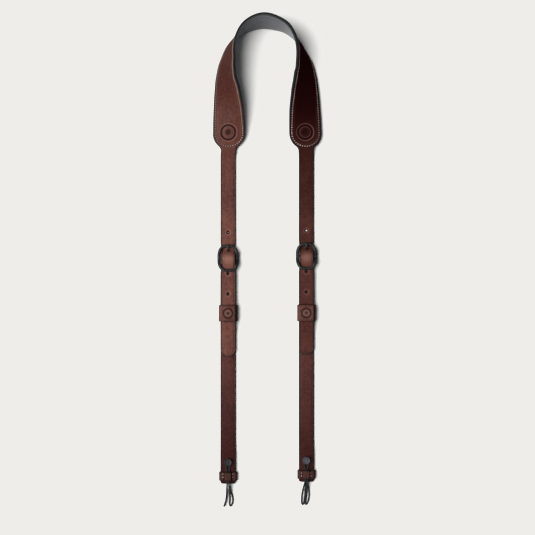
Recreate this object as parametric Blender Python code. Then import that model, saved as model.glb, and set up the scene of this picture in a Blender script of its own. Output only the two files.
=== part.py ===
# A leather camera neck strap lying on a table, seen from above with its pad at the top.
# X runs across the two straps, Y along them towards the pad, Z up. Metres.

import math

import bmesh
import bpy
import numpy as np

for leftover in list(bpy.data.objects):
    bpy.data.objects.remove(leftover, do_unlink=True)

# Leather and lining
STRAP_WIDTH = 0.016
PAD_WIDTH = 0.034
LEATHER = 0.0018
LINING = 0.0018
LINING_INSET = 0.0002
LINING_END = 0.016
EDGE_EASE = 0.0004
FILLET_RADIUS = 0.006
TIP_LENGTH = 0.0075
GAP = 0.0003

# How the strap lies
LIMB_OFFSET = 0.0413
PAD_INSET = 0.0011
APEX_SHIFT = 0.0026
ARCH_RISE = 0.1133
PAD_TO_BAR = 0.1307
SETTLE_LENGTH = 0.018

# Buckle and prong
FRAME_INNER_WIDTH = 0.0165
FRAME_LENGTH = 0.028
SIDE_WIRE = 0.003
END_WIRE = 0.0025
WIRE_HEIGHT = 0.0022
FRAME_SQUARENESS = 2.9
STRAP_PINCH = 0.00055
BAR_RADIUS = 0.0011
BAR_LIFT = 0.0012
TOP_BAR_LIFT = 0.0005
TOP_BAR_SPACE = 0.0017
LOW_BAR_SPACE = 0.0005
PRONG_WIDTH = 0.002
PRONG_HEIGHT = 0.0014

# Punched holes, counted from the one that the prong is in
HOLE_RADIUS = 0.0016
HOLE_PITCH = 0.0215
HOLE_REACH = 0.0056
HOLES_TOWARDS_PAD = 1
HOLES_TOWARDS_TIP = 2
LAST_HOLE_TO_TIP = 0.0655

# Lower strap, measured from the centre bar
FLAP = 0.001
FLAP_LENGTH = 0.027
BAR_TO_KEEPER = 0.0584
BAR_TO_STUD = 0.2135
BAR_TO_BAND = 0.2284
END_BEYOND_BAND = 0.0032
END_CORNER = 0.002

# Keeper, end band, stud and cord
KEEPER_LENGTH = 0.0172
KEEPER_WALL = 0.0015
BAND_LENGTH = 0.0093
BAND_WALL = 0.0012
CORD_DIAMETER = 0.0014
STUD_HEAD_RADIUS = 0.004
STUD_HEAD_HEIGHT = 0.0016
STUD_STEM_RADIUS = 0.0017
STUD_BASE_RADIUS = 0.0034
STUD_BASE_HEIGHT = 0.0009

# Each limb: its side, then its place and lengths as shares of the named ones
LIMB_COLUMNS = ("name", "side", "offset", "pad_to_bar", "bar_to_keeper")
LIMB_ROWS = (
    ("left", -1, 1.000, 1.000, 0.988),
    ("right", 1, 0.987, 0.985, 1.014),
)

# Where the pad's outer edge runs on the table, from a lower end to the top of the arch.
# across and along are shares of the way to the top, roll is in degrees from lying flat.
ARCH_COLUMNS = ("across", "along", "roll")
LEFT_ARCH = (
    (0.000, 0.000, 5.0),
    (0.001, 0.126, 14.5),
    (0.008, 0.219, 22.5),
    (0.015, 0.312, 31.0),
    (0.027, 0.405, 39.5),
    (0.044, 0.498, 49.0),
    (0.067, 0.563, 54.5),
    (0.098, 0.630, 58.5),
    (0.146, 0.693, 62.8),
    (0.218, 0.776, 70.5),
    (0.337, 0.858, 79.7),
    (0.464, 0.912, 89.0),
    (0.638, 0.964, 97.5),
    (0.828, 0.993, 103.0),
)
RIGHT_ARCH = (
    (0.000, 0.000, 4.0),
    (0.009, 0.126, 13.0),
    (0.021, 0.219, 20.0),
    (0.032, 0.312, 28.0),
    (0.050, 0.405, 35.5),
    (0.075, 0.498, 44.0),
    (0.100, 0.563, 50.3),
    (0.132, 0.630, 56.5),
    (0.185, 0.693, 62.2),
    (0.274, 0.774, 74.0),
    (0.371, 0.849, 82.5),
    (0.497, 0.914, 90.5),
    (0.643, 0.963, 97.0),
    (0.795, 0.986, 101.5),
)
APEX_ROLL = 105.0

# Sizes that follow
STACK = LEATHER + GAP + LINING
HALF_PAD = PAD_WIDTH / 2
HALF_STRAP = STRAP_WIDTH / 2
SIDE_MID = FRAME_INNER_WIDTH / 2 + SIDE_WIRE / 2
END_MID = FRAME_LENGTH / 2 - END_WIRE / 2
BULGE_REACH = 0.7 * END_MID
FOLD_INNER = BAR_RADIUS + GAP
BAR_HEIGHT = FOLD_INNER + FLAP + BAR_LIFT
BULGE_HEIGHT = BAR_HEIGHT + FOLD_INNER + LEATHER + GAP
TAIL_ON_FLAP = FLAP + GAP + LEATHER + GAP
TAIL_ON_STRAP = LEATHER + GAP
KEEPER_LIFT = KEEPER_WALL + GAP
TAIL_IN_KEEPER = KEEPER_LIFT + LEATHER + GAP
BAND_LIFT = max(BAND_WALL, STUD_BASE_HEIGHT) + GAP
BAR_TO_TIP = LAST_HOLE_TO_TIP + HOLES_TOWARDS_TIP * HOLE_PITCH - HOLE_REACH
BAR_TO_END = BAR_TO_BAND + BAND_LENGTH / 2 + END_BEYOND_BAND
TOP_BAR_HEIGHT = TOP_BAR_LIFT + LEATHER + TOP_BAR_SPACE + WIRE_HEIGHT / 2
LOW_BAR_HEIGHT = TAIL_ON_FLAP + LEATHER + LOW_BAR_SPACE + WIRE_HEIGHT / 2
TUNNEL_WIDTH = 2 * CORD_DIAMETER + 3 * GAP
TUNNEL_HEIGHT = 2 * CORD_DIAMETER + 2 * GAP


def smooth(share):
    # 0 to 1 with level ends
    share = min(max(share, 0.0), 1.0)
    return 0.5 - 0.5 * math.cos(math.pi * share)


def table(columns, rows):
    return [dict(zip(columns, row)) for row in rows]


def smooth_heights(stations, at):
    # a level stretch at each station's height and an easy ramp between neighbours
    if at <= stations[0][0]:
        return stations[0][1]
    for (start, low), (end, high) in zip(stations, stations[1:]):
        if at <= end:
            return low + (high - low) * smooth((at - start) / (end - start))
    return stations[-1][1]


class Spline:
    # natural cubic through points, by chord length
    def __init__(self, points):
        self.points = np.array(points, dtype=float)
        chords = np.linalg.norm(np.diff(self.points[:, :2], axis=0), axis=1)
        self.knots = np.concatenate(([0.0], np.cumsum(chords)))
        self.length = self.knots[-1]
        count = len(self.points)
        matrix = np.eye(count)
        right = np.zeros_like(self.points)
        for i in range(1, count - 1):
            before = self.knots[i] - self.knots[i - 1]
            after = self.knots[i + 1] - self.knots[i]
            matrix[i, i - 1:i + 2] = before, 2 * (before + after), after
            rise_after = (self.points[i + 1] - self.points[i]) / after
            rise_before = (self.points[i] - self.points[i - 1]) / before
            right[i] = 6 * (rise_after - rise_before)
        self.bends = np.linalg.solve(matrix, right)

    def at(self, place):
        place = min(max(place, 0.0), self.length)
        i = min(int(np.searchsorted(self.knots, place, side="right")) - 1, len(self.knots) - 2)
        step = self.knots[i + 1] - self.knots[i]
        b = (place - self.knots[i]) / step
        a = 1 - b
        curve = (a ** 3 - a) * self.bends[i] + (b ** 3 - b) * self.bends[i + 1]
        return a * self.points[i] + b * self.points[i + 1] + curve * step * step / 6

    def direction(self, place):
        step = self.length * 1e-3
        ahead = self.at(place + step) - self.at(place - step)
        return ahead / np.linalg.norm(ahead[:2])


class Spline3(Spline):
    # the same curve, its knots spaced by the whole distance in space
    def __init__(self, points):
        flat = np.array(points, dtype=float)
        chords = np.linalg.norm(np.diff(flat, axis=0), axis=1)
        travelled = np.concatenate(([0.0], np.cumsum(chords)))
        lead = np.column_stack((travelled, np.zeros(len(flat)), flat))
        super().__init__(lead)

    def at(self, place):
        return super().at(place)[2:]


def unit(vector):
    return vector / np.linalg.norm(vector)


# Helpers that make solids

def make_material(name, colour, roughness, metallic=0.0):
    material = bpy.data.materials.new(name)
    material.use_nodes = True
    shader = material.node_tree.nodes["Principled BSDF"]
    shader.inputs["Base Color"].default_value = (*colour, 1.0)
    shader.inputs["Roughness"].default_value = roughness
    shader.inputs["Metallic"].default_value = metallic
    material.diffuse_color = (*colour, 1.0)
    return material


def add_object(name, mesh, material):
    piece = bpy.data.objects.new(name, mesh)
    bpy.context.scene.collection.objects.link(piece)
    piece.data.materials.append(material)
    return piece


def loft(name, rings, material, closed=False, smooth_angle=40.0):
    # joins equal rings of points in order, with a flat cap at each end unless it is closed
    shape = bmesh.new()
    rows = [[shape.verts.new(point) for point in ring] for ring in rings]
    count = len(rows[0])
    pairs = list(zip(rows, rows[1:]))
    if closed:
        pairs.append((rows[-1], rows[0]))
    for one, two in pairs:
        for i in range(count):
            j = (i + 1) % count
            # both sides of a strip are split along the same diagonal, so layers keep their gap
            if 2 * i < count:
                shape.faces.new((one[i], one[j], two[j]))
                shape.faces.new((one[i], two[j], two[i]))
            else:
                shape.faces.new((one[i], one[j], two[i]))
                shape.faces.new((one[j], two[j], two[i]))
    if not closed:
        shape.faces.new(list(reversed(rows[0])))
        shape.faces.new(rows[-1])
    bmesh.ops.recalc_face_normals(shape, faces=shape.faces)
    mesh = bpy.data.meshes.new(name)
    shape.to_mesh(mesh)
    shape.free()
    mesh.shade_smooth()
    mesh.set_sharp_from_angle(angle=math.radians(smooth_angle))
    return add_object(name, mesh, material)


def cut(piece, cutters):
    for cutter in cutters:
        cutter.hide_render = True
        cutter.display_type = "WIRE"
        difference = piece.modifiers.new("Cut", "BOOLEAN")
        difference.operation = "DIFFERENCE"
        difference.solver = "EXACT"
        difference.object = cutter


def rod(name, centre, direction, radius, length, material, sides=12):
    axis = unit(np.array(direction, dtype=float))
    helper = np.array((1.0, 0.0, 0.0)) if abs(axis[0]) < 0.9 else np.array((0.0, 1.0, 0.0))
    first = unit(np.cross(axis, helper))
    second = np.cross(axis, first)
    rings = []
    for end in (-0.5, 0.5):
        middle = np.array(centre) + axis * length * end
        angles = [2 * math.pi * i / sides for i in range(sides)]
        rings.append([middle + radius * (math.cos(t) * first + math.sin(t) * second) for t in angles])
    return loft(name, rings, material)


def block(name, low, high, material):
    corners = ((0, 0), (1, 0), (1, 1), (0, 1))
    size = np.array(high) - np.array(low)
    rings = [[np.array(low) + size * np.array((x, y, z)) for x, y in corners] for z in (0, 1)]
    return loft(name, rings, material)


def strip_ring(centre, across, normal, half, thickness, columns=(-1.0, 0.0, 1.0)):
    # the section of a leather strip whose outer face passes through centre
    ease = min(EDGE_EASE, 0.4 * thickness, 0.4 * half)
    places = [(share * (half - ease), 0.0) for share in columns]
    places += [(half, -ease), (half, -thickness + ease)]
    places += [(share * (half - ease), -thickness) for share in reversed(columns)]
    places += [(-half, -thickness + ease), (-half, -ease)]
    return [centre + across * v + normal * n for v, n in places]


# The wide pad and the upper straps

class Limb:
    def __init__(self, row):
        self.name = row["name"]
        self.side = row["side"]
        self.x = self.side * LIMB_OFFSET * row["offset"]
        self.inward = np.array((-float(self.side), 0.0, 0.0))
        self.pad_to_bar = PAD_TO_BAR * row["pad_to_bar"]
        self.bar_y = -self.pad_to_bar
        self.bar_to_keeper = BAR_TO_KEEPER * row["bar_to_keeper"]
        self.arch = table(ARCH_COLUMNS, LEFT_ARCH if self.side < 0 else RIGHT_ARCH)
        self.foot_x = self.x + self.side * (HALF_PAD - PAD_INSET)
        self.foot_roll = math.radians(self.arch[0]["roll"])
        half_keeper = KEEPER_LENGTH / 2
        # height of the upper strap's underside, by distance above the centre bar
        self.tail_stations = [
            (-self.bar_to_keeper - half_keeper - 0.9 * STRAP_WIDTH, TAIL_ON_STRAP),
            (-self.bar_to_keeper - half_keeper, TAIL_IN_KEEPER),
            (-self.bar_to_keeper + half_keeper, TAIL_IN_KEEPER),
            (-FLAP_LENGTH - 0.2 * STRAP_WIDTH, max(TAIL_ON_FLAP, TAIL_ON_STRAP)),
            (-BULGE_REACH, TAIL_ON_FLAP),
            (0.0, BULGE_HEIGHT),
            (BULGE_REACH, TOP_BAR_LIFT),
            (END_MID, TOP_BAR_LIFT),
            (END_MID + STRAP_WIDTH, 0.0),
        ]
        # height of the lower strap's underside near its end
        self.end_stations = [
            (-BAR_TO_STUD + STUD_BASE_RADIUS + 2 * GAP, BAND_LIFT),
            (-BAR_TO_STUD + 1.6 * STRAP_WIDTH, 0.0),
        ]

    def arch_points(self):
        apex_x = -APEX_SHIFT
        points = []
        for row in self.arch:
            x = self.foot_x + (apex_x - self.foot_x) * row["across"]
            points.append((x, ARCH_RISE * row["along"], row["roll"]))
        return points

    def tail_height(self, above_bar):
        return smooth_heights(self.tail_stations, above_bar)

    def tail_slope(self, above_bar):
        step = 0.1 * LEATHER
        rise = self.tail_height(above_bar + step) - self.tail_height(above_bar - step)
        return rise / (2 * step)

    def lower_height(self, above_bar):
        # underside of the lower strap: under the tail, then on the table, then on the end band
        if above_bar < -BAR_TO_TIP - TIP_LENGTH:
            return smooth_heights(self.end_stations, above_bar)
        lean = math.sqrt(1 + self.tail_slope(above_bar) ** 2)
        return max(self.tail_height(above_bar) - GAP - LEATHER * lean, 0.0)

    def upper_underside(self, down):
        # middle of the underside, at a distance down from where the pad's round end starts
        roll = self.foot_roll * (1 - min(down / SETTLE_LENGTH, 1)) ** 2
        on_lining = (GAP + LINING) * (1 - smooth((down - LINING_END) / (0.75 * STRAP_WIDTH)))
        height = on_lining * math.cos(roll) + HALF_PAD * math.sin(roll)
        height += self.tail_height(self.pad_to_bar - down)
        centre_x = self.foot_x - self.side * HALF_PAD * math.cos(self.foot_roll)
        x = centre_x + (self.x - centre_x) * smooth(down / (1.5 * SETTLE_LENGTH))
        across = self.inward * math.cos(roll) + np.array((0.0, 0.0, math.sin(roll)))
        return np.array((x, -down, height)), across

    def upper_frame(self, down):
        # middle of the outer face, direction across it and its outward normal
        step = 0.15 * LEATHER
        middle, across = self.upper_underside(down)
        below = self.upper_underside(down + step)[0]
        above = self.upper_underside(max(down - step, 0.0))[0]
        along = unit(above - below)
        normal = unit(np.cross(across, along)) * (-self.side)
        if normal[2] < 0:
            normal = -normal
        return middle + normal * LEATHER, across, normal


def pad_end_half(down):
    # half width of the leather from the pad's round end, through the hollow fillet, to the strap
    reach = HALF_PAD + FILLET_RADIUS
    fillet_x = HALF_STRAP + FILLET_RADIUS
    fillet_down = math.sqrt(reach ** 2 - fillet_x ** 2)
    touch_down = fillet_down * HALF_PAD / reach
    if down <= 0:
        return HALF_PAD
    if down <= touch_down:
        return math.sqrt(HALF_PAD ** 2 - down ** 2)
    if down <= fillet_down:
        return fillet_x - math.sqrt(FILLET_RADIUS ** 2 - (fillet_down - down) ** 2)
    return HALF_STRAP


def pinch(above_bar):
    # the straps are drawn a little narrower inside the frame
    return STRAP_PINCH * (1 - smooth((abs(above_bar) - BULGE_REACH) / BULGE_REACH))


def tip_half(to_tip, length, full):
    # half width of a round tip
    share = 1 - min(to_tip / length, 1.0)
    return full * max(math.sqrt(1 - share ** 2), 0.12)


def pad_path(limbs):
    left, right = limbs
    points = left.arch_points()
    points.append((-APEX_SHIFT, ARCH_RISE, APEX_ROLL))
    points += list(reversed(right.arch_points()))
    return Spline(points)


def pad_frame(path, place):
    x, y, roll = path.at(place)
    heading = unit(path.direction(place)[:2])
    roll = math.radians(roll)
    along = np.array((heading[0], heading[1], 0.0))
    inward = np.array((heading[1], -heading[0], 0.0))
    across = inward * math.cos(roll) + np.array((0.0, 0.0, math.sin(roll)))
    normal = np.cross(across, along)
    edge = np.array((x, y, STACK * max(math.cos(roll), 0.0)))
    return edge + across * HALF_PAD, across, normal


PAD_SECTIONS = 60
ROUND_SECTIONS = 8


def round_end_places(reach, count):
    # distances down that follow a round end evenly
    return [reach * math.sin(0.5 * math.pi * i / count) for i in range(1, count + 1)]


def upper_strap_places(limb):
    # distances down from the pad's round end, dense where the outline or the height bends
    fillet_down = math.sqrt((HALF_PAD + FILLET_RADIUS) ** 2 - (HALF_STRAP + FILLET_RADIUS) ** 2)
    bar = limb.pad_to_bar
    tip = bar + BAR_TO_TIP
    places = [fillet_down * share for share in (0.12, 0.3, 0.45, 0.58, 0.68, 0.74, 0.82, 0.9, 1.0)]
    places += [fillet_down + 0.25 * STRAP_WIDTH * i for i in range(1, 6)]
    places.append(0.5 * bar)
    places += [bar - END_MID - STRAP_WIDTH * share for share in (1.0, 0.7, 0.35, 0.0)]
    places += [bar - BULGE_REACH * (1 - i / 9) for i in range(19)]
    places += [bar + FLAP_LENGTH + 0.2 * STRAP_WIDTH]
    keeper = bar + limb.bar_to_keeper
    half_keeper = KEEPER_LENGTH / 2
    places += [keeper - half_keeper - 0.25 * STRAP_WIDTH, keeper - half_keeper, keeper + half_keeper]
    places += [keeper + half_keeper + 0.9 * STRAP_WIDTH * share for share in (0.25, 0.5, 0.75, 1.0)]
    places += [tip - TIP_LENGTH * math.cos(0.5 * math.pi * i / 6) for i in range(7)]
    return sorted(places)


def upper_strap_half(limb, down):
    to_tip = limb.pad_to_bar + BAR_TO_TIP - down
    if to_tip < TIP_LENGTH:
        return tip_half(to_tip, TIP_LENGTH, HALF_STRAP)
    return pad_end_half(down) - pinch(limb.pad_to_bar - down)


def upper_strap_rings(limb):
    rings = []
    for down in upper_strap_places(limb):
        centre, across, normal = limb.upper_frame(down)
        rings.append(strip_ring(centre, across, normal, upper_strap_half(limb, down), LEATHER))
    return rings


def hole_cutters(limb, material):
    # round punched holes, square to the leather where they pass it
    cutters = []
    for number in range(-HOLES_TOWARDS_TIP, HOLES_TOWARDS_PAD + 1):
        down = limb.pad_to_bar - HOLE_REACH - number * HOLE_PITCH
        centre, across, normal = limb.upper_frame(down)
        middle = centre - normal * LEATHER / 2
        name = f"hole_cutter_{limb.name}_{number + HOLES_TOWARDS_TIP}"
        cutters.append(rod(name, middle, normal, HOLE_RADIUS, 2.4 * LEATHER, material))
    return cutters


def build_strap_leather(limbs, path, material):
    left, right = limbs
    rings = list(reversed(upper_strap_rings(left)))
    for i in range(PAD_SECTIONS + 1):
        frame = pad_frame(path, path.length * i / PAD_SECTIONS)
        rings.append(strip_ring(*frame, HALF_PAD, LEATHER))
    rings += upper_strap_rings(right)
    piece = loft("strap_leather", rings, material)
    for limb in limbs:
        cut(piece, hole_cutters(limb, material))
    return piece


def lining_rings_at_end(limb):
    rings = []
    half_lining = HALF_PAD - LINING_INSET
    for down in round_end_places(LINING_END - LINING_INSET, ROUND_SECTIONS):
        centre, across, normal = limb.upper_frame(down)
        half = half_lining * max(math.sqrt(1 - (down / LINING_END) ** 2), 0.1)
        rings.append(strip_ring(centre - normal * (LEATHER + GAP), across, normal, half, LINING))
    return rings


def build_lining(limbs, path, material):
    left, right = limbs
    rings = list(reversed(lining_rings_at_end(left)))
    for i in range(PAD_SECTIONS + 1):
        centre, across, normal = pad_frame(path, path.length * i / PAD_SECTIONS)
        face = centre - normal * (LEATHER + GAP)
        rings.append(strip_ring(face, across, normal, HALF_PAD - LINING_INSET, LINING))
    rings += lining_rings_at_end(right)
    return loft("pad_lining", rings, material)


# Buckles

def frame_height(above_bar):
    # the frame rises from the centre bar to both of its end bars
    target = TOP_BAR_HEIGHT if above_bar > 0 else LOW_BAR_HEIGHT
    return BAR_HEIGHT + (target - BAR_HEIGHT) * smooth(abs(above_bar) / BULGE_REACH)


def build_buckle(limb, material):
    steps = 36
    sides = 8
    rings = []
    for i in range(steps):
        angle = 2 * math.pi * (i + 0.5) / steps
        cosine, sine = math.cos(angle), math.sin(angle)
        power = 2 / FRAME_SQUARENESS
        x = SIDE_MID * math.copysign(abs(cosine) ** power, cosine)
        y = END_MID * math.copysign(abs(sine) ** power, sine)
        slope_x = abs(x / SIDE_MID) ** (FRAME_SQUARENESS - 1) / SIDE_MID
        slope_y = abs(y / END_MID) ** (FRAME_SQUARENESS - 1) / END_MID
        outward = unit(np.array((math.copysign(slope_x, x), math.copysign(slope_y, y), 0.0)))
        wire = SIDE_WIRE * outward[0] ** 2 + END_WIRE * outward[1] ** 2
        centre = np.array((limb.x + x, limb.bar_y + y, frame_height(y)))
        ring = []
        for j in range(sides):
            turn = 2 * math.pi * (j + 0.5) / sides
            sideways = outward * 0.54 * wire * math.cos(turn)
            ring.append(centre + sideways + np.array((0, 0, 0.54 * WIRE_HEIGHT * math.sin(turn))))
        rings.append(ring)
    buckle = loft(f"buckle_{limb.name}", rings, material, closed=True)
    bar_centre = (limb.x, limb.bar_y, BAR_HEIGHT)
    bar_length = FRAME_INNER_WIDTH + SIDE_WIRE
    bar = rod(f"bar_{limb.name}", bar_centre, (1, 0, 0), BAR_RADIUS, bar_length, material, sides=10)
    bar.hide_render = True
    bar.display_type = "WIRE"
    union = buckle.modifiers.new("Centre bar", "BOOLEAN")
    union.operation = "UNION"
    union.solver = "EXACT"
    union.object = bar
    return buckle


def prong_route(limb):
    # round the bar, up through the hole and down on to the top bar, by distance above the bar
    wrap = FOLD_INNER + PRONG_HEIGHT / 2
    route = []
    for degrees in (150, 195, 240, 285):
        angle = math.radians(degrees)
        route.append((wrap * math.cos(angle), BAR_HEIGHT + wrap * math.sin(angle)))
    face, across, normal = limb.upper_frame(limb.pad_to_bar - HOLE_REACH)
    for depth in (1.4, 0.5, -0.4):
        point = face - normal * LEATHER * depth
        route.append((point[1] - limb.bar_y, point[2]))
    rest = TOP_BAR_HEIGHT + WIRE_HEIGHT / 2 + GAP + PRONG_HEIGHT / 2
    route.append((0.6 * HOLE_REACH + 0.5 * END_MID, rest - 0.1 * PRONG_HEIGHT))
    route.append((END_MID, rest))
    route.append((END_MID + 0.55 * END_WIRE, rest - 0.1 * PRONG_HEIGHT))
    return Spline(route)


def build_prong(limb, material):
    route = prong_route(limb)
    steps = 20
    sides = 8
    rings = []
    for i in range(steps + 1):
        place = route.length * i / steps
        u, z = route.at(place)
        forward, rise = unit(route.direction(place))
        centre = np.array((limb.x, limb.bar_y + u, z))
        lift = np.array((0.0, -rise, forward))
        to_tip = (steps - i) / 2
        taper = 0.55 + 0.45 * min(to_tip, 1.0)
        ring = []
        for j in range(sides):
            turn = 2 * math.pi * (j + 0.5) / sides
            sideways = np.array((0.52 * PRONG_WIDTH * math.cos(turn), 0.0, 0.0))
            ring.append(centre + taper * (sideways + lift * 0.52 * PRONG_HEIGHT * math.sin(turn)))
        rings.append(ring)
    return loft(f"prong_{limb.name}", rings, material)


# Lower straps

def lower_strap_sections(limb):
    # from the free end to the bar, over it and back underneath: place, height, half width, thickness
    sections = []
    for share in (0.0, 0.3, 0.65, 1.0):
        half = HALF_STRAP - END_CORNER * (1 - math.sqrt(1 - (1 - share) ** 2))
        u = -BAR_TO_END + END_CORNER * share
        sections.append((u, limb.lower_height(u), half, LEATHER))
    places = [-BAR_TO_BAND - BAND_LENGTH / 2, -BAR_TO_BAND + BAND_LENGTH / 2]
    start, end = limb.end_stations[0][0], limb.end_stations[1][0]
    places += [start + (end - start) * i / 6 for i in range(7)]
    tail_start = limb.tail_stations[0][0]
    places += [0.5 * (end - BAR_TO_TIP), -BAR_TO_TIP - TIP_LENGTH]
    for one, two in zip(limb.tail_stations[:5], limb.tail_stations[1:5]):
        places += [one[0] + (two[0] - one[0]) * i / 3 for i in range(3)]
    places += [-BULGE_REACH * (1 - i / 8) for i in range(8)]
    for u in sorted(set(places)):
        sections.append((u, limb.lower_height(u), HALF_STRAP - pinch(u), LEATHER))
    for i in range(9):
        angle = math.pi * (0.5 - i / 8)
        thickness = LEATHER + (FLAP - LEATHER) * i / 8
        u = FOLD_INNER * math.cos(angle)
        z = BAR_HEIGHT + FOLD_INNER * math.sin(angle)
        sections.append((u, z, HALF_STRAP - pinch(u), thickness))
    drop = BAR_HEIGHT - FOLD_INNER - FLAP
    for i in range(1, 7):
        u = -BULGE_REACH * i / 6
        sections.append((u, FLAP + drop * (1 - smooth(i / 6)), HALF_STRAP - pinch(u), FLAP))
    sections.append((-FLAP_LENGTH, FLAP, HALF_STRAP, FLAP))
    return sections


def build_lower_strap(limb, material):
    sections = lower_strap_sections(limb)
    rings = []
    for i, (u, z, half, thickness) in enumerate(sections):
        ahead = sections[min(i + 1, len(sections) - 1)]
        behind = sections[max(i - 1, 0)]
        along = unit(np.array((0.0, ahead[0] - behind[0], ahead[1] - behind[1])))
        normal = np.array((0.0, -along[2], along[1]))
        inner = np.array((limb.x, limb.bar_y + u, z))
        outer = inner + normal * thickness
        across = np.array((1.0, 0.0, 0.0))
        rings.append(strip_ring(outer, across, normal, half, thickness))
    piece = loft(f"lower_strap_{limb.name}", rings, material)
    slot_half = PRONG_WIDTH / 2 + GAP
    reach = FOLD_INNER + LEATHER + GAP
    low = (limb.x - slot_half, limb.bar_y - reach, -LEATHER)
    high = (limb.x + slot_half, limb.bar_y + reach, BULGE_HEIGHT + LEATHER)
    slot = block(f"slot_cutter_{limb.name}", low, high, material)
    stud_centre = (limb.x, limb.bar_y - BAR_TO_STUD, BAND_LIFT)
    hole_radius = STUD_STEM_RADIUS + GAP
    hole = rod(f"stud_cutter_{limb.name}", stud_centre, (0, 0, 1), hole_radius, 6 * LEATHER, material)
    cut(piece, [slot, hole])
    return piece


# Keepers and end bands: closed loops of leather round the straps

def rounded_loop(half, low, high, corner, steps=3):
    centres = ((half - corner, high - corner, 0), (-half + corner, high - corner, 90),
               (-half + corner, low + corner, 180), (half - corner, low + corner, 270))
    loop = []
    for x, z, start in centres:
        for i in range(steps + 1):
            angle = math.radians(start + 90 * i / steps)
            loop.append((x + corner * math.cos(angle), z + corner * math.sin(angle)))
    return loop


def build_sleeve(name, limb, loop_at, wall, above_bar, length, material):
    # a wall round the strap, with an eased outer rim at both ends; loop_at gives the loop at a depth in it
    ease = min(EDGE_EASE, 0.3 * wall)
    low = limb.bar_y + above_bar - length / 2
    high = limb.bar_y + above_bar + length / 2
    outline = [(0.0, low), (wall - ease, low), (wall, low + ease)]
    outline += [(wall, high - ease), (wall - ease, high), (0.0, high)]
    rings = []
    for depth, y in outline:
        rings.append([np.array((limb.x + x, y, z)) for x, z in loop_at(depth)])
    return loft(name, rings, material, closed=True)


def keeper_loop(depth):
    low = KEEPER_WALL - depth
    high = TAIL_IN_KEEPER + LEATHER + GAP + depth
    return rounded_loop(HALF_STRAP + GAP + depth, low, high, 0.5 * LEATHER + depth)


def build_keeper(limb, material):
    name = f"keeper_{limb.name}"
    return build_sleeve(name, limb, keeper_loop, KEEPER_WALL, -limb.bar_to_keeper, KEEPER_LENGTH, material)


def tunnel_loop(depth):
    # close to the strap, with a low arch over the cord
    corner_steps = 2
    roof = BAND_LIFT + LEATHER + GAP + depth
    half = HALF_STRAP + GAP + depth
    loop = rounded_loop(half, BAND_LIFT - GAP - depth, roof, 0.4 * LEATHER + depth, corner_steps)
    half_tunnel = TUNNEL_WIDTH / 2 + depth
    ramp = 0.8 * CORD_DIAMETER
    ramp_steps = 4
    top = []
    for i in range(ramp_steps + 1):
        share = i / ramp_steps
        top.append((half_tunnel + ramp * (1 - share), roof + (TUNNEL_HEIGHT - GAP) * smooth(share)))
    mirrored = [(-x, z) for x, z in reversed(top)]
    return loop[:corner_steps + 1] + top + mirrored + loop[corner_steps + 1:]


def build_end_band(limb, material):
    name = f"end_band_{limb.name}"
    return build_sleeve(name, limb, tunnel_loop, BAND_WALL, -BAR_TO_BAND, BAND_LENGTH, material)


# Stud

def build_stud(limb, material):
    strap_top = BAND_LIFT + LEATHER
    head_low = strap_top + CORD_DIAMETER + 3 * GAP
    head_high = head_low + STUD_HEAD_HEIGHT
    base_low = BAND_LIFT - GAP - STUD_BASE_HEIGHT
    ease = 0.25 * STUD_HEAD_HEIGHT
    profile = (
        (0.6 * STUD_BASE_RADIUS, base_low),
        (STUD_BASE_RADIUS, base_low + 0.3 * STUD_BASE_HEIGHT),
        (STUD_BASE_RADIUS, base_low + STUD_BASE_HEIGHT),
        (STUD_STEM_RADIUS, base_low + STUD_BASE_HEIGHT),
        (STUD_STEM_RADIUS, head_low),
        (STUD_HEAD_RADIUS - ease, head_low),
        (STUD_HEAD_RADIUS, head_low + ease),
        (STUD_HEAD_RADIUS, head_high - ease),
        (STUD_HEAD_RADIUS - ease, head_high - 0.3 * ease),
        (0.5 * STUD_HEAD_RADIUS, head_high),
    )
    sides = 16
    y = limb.bar_y - BAR_TO_STUD
    rings = []
    for radius, z in profile:
        angles = [2 * math.pi * i / sides for i in range(sides)]
        rings.append([(limb.x + radius * math.cos(t), y + radius * math.sin(t), z) for t in angles])
    return loft(f"button_stud_{limb.name}", rings, material, smooth_angle=35.0)


# Cords: each route starts inside the tunnel, makes one loop, goes round the stud, and makes the other.
# Points are metres from the middle of the end band, with heights above the table.

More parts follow.
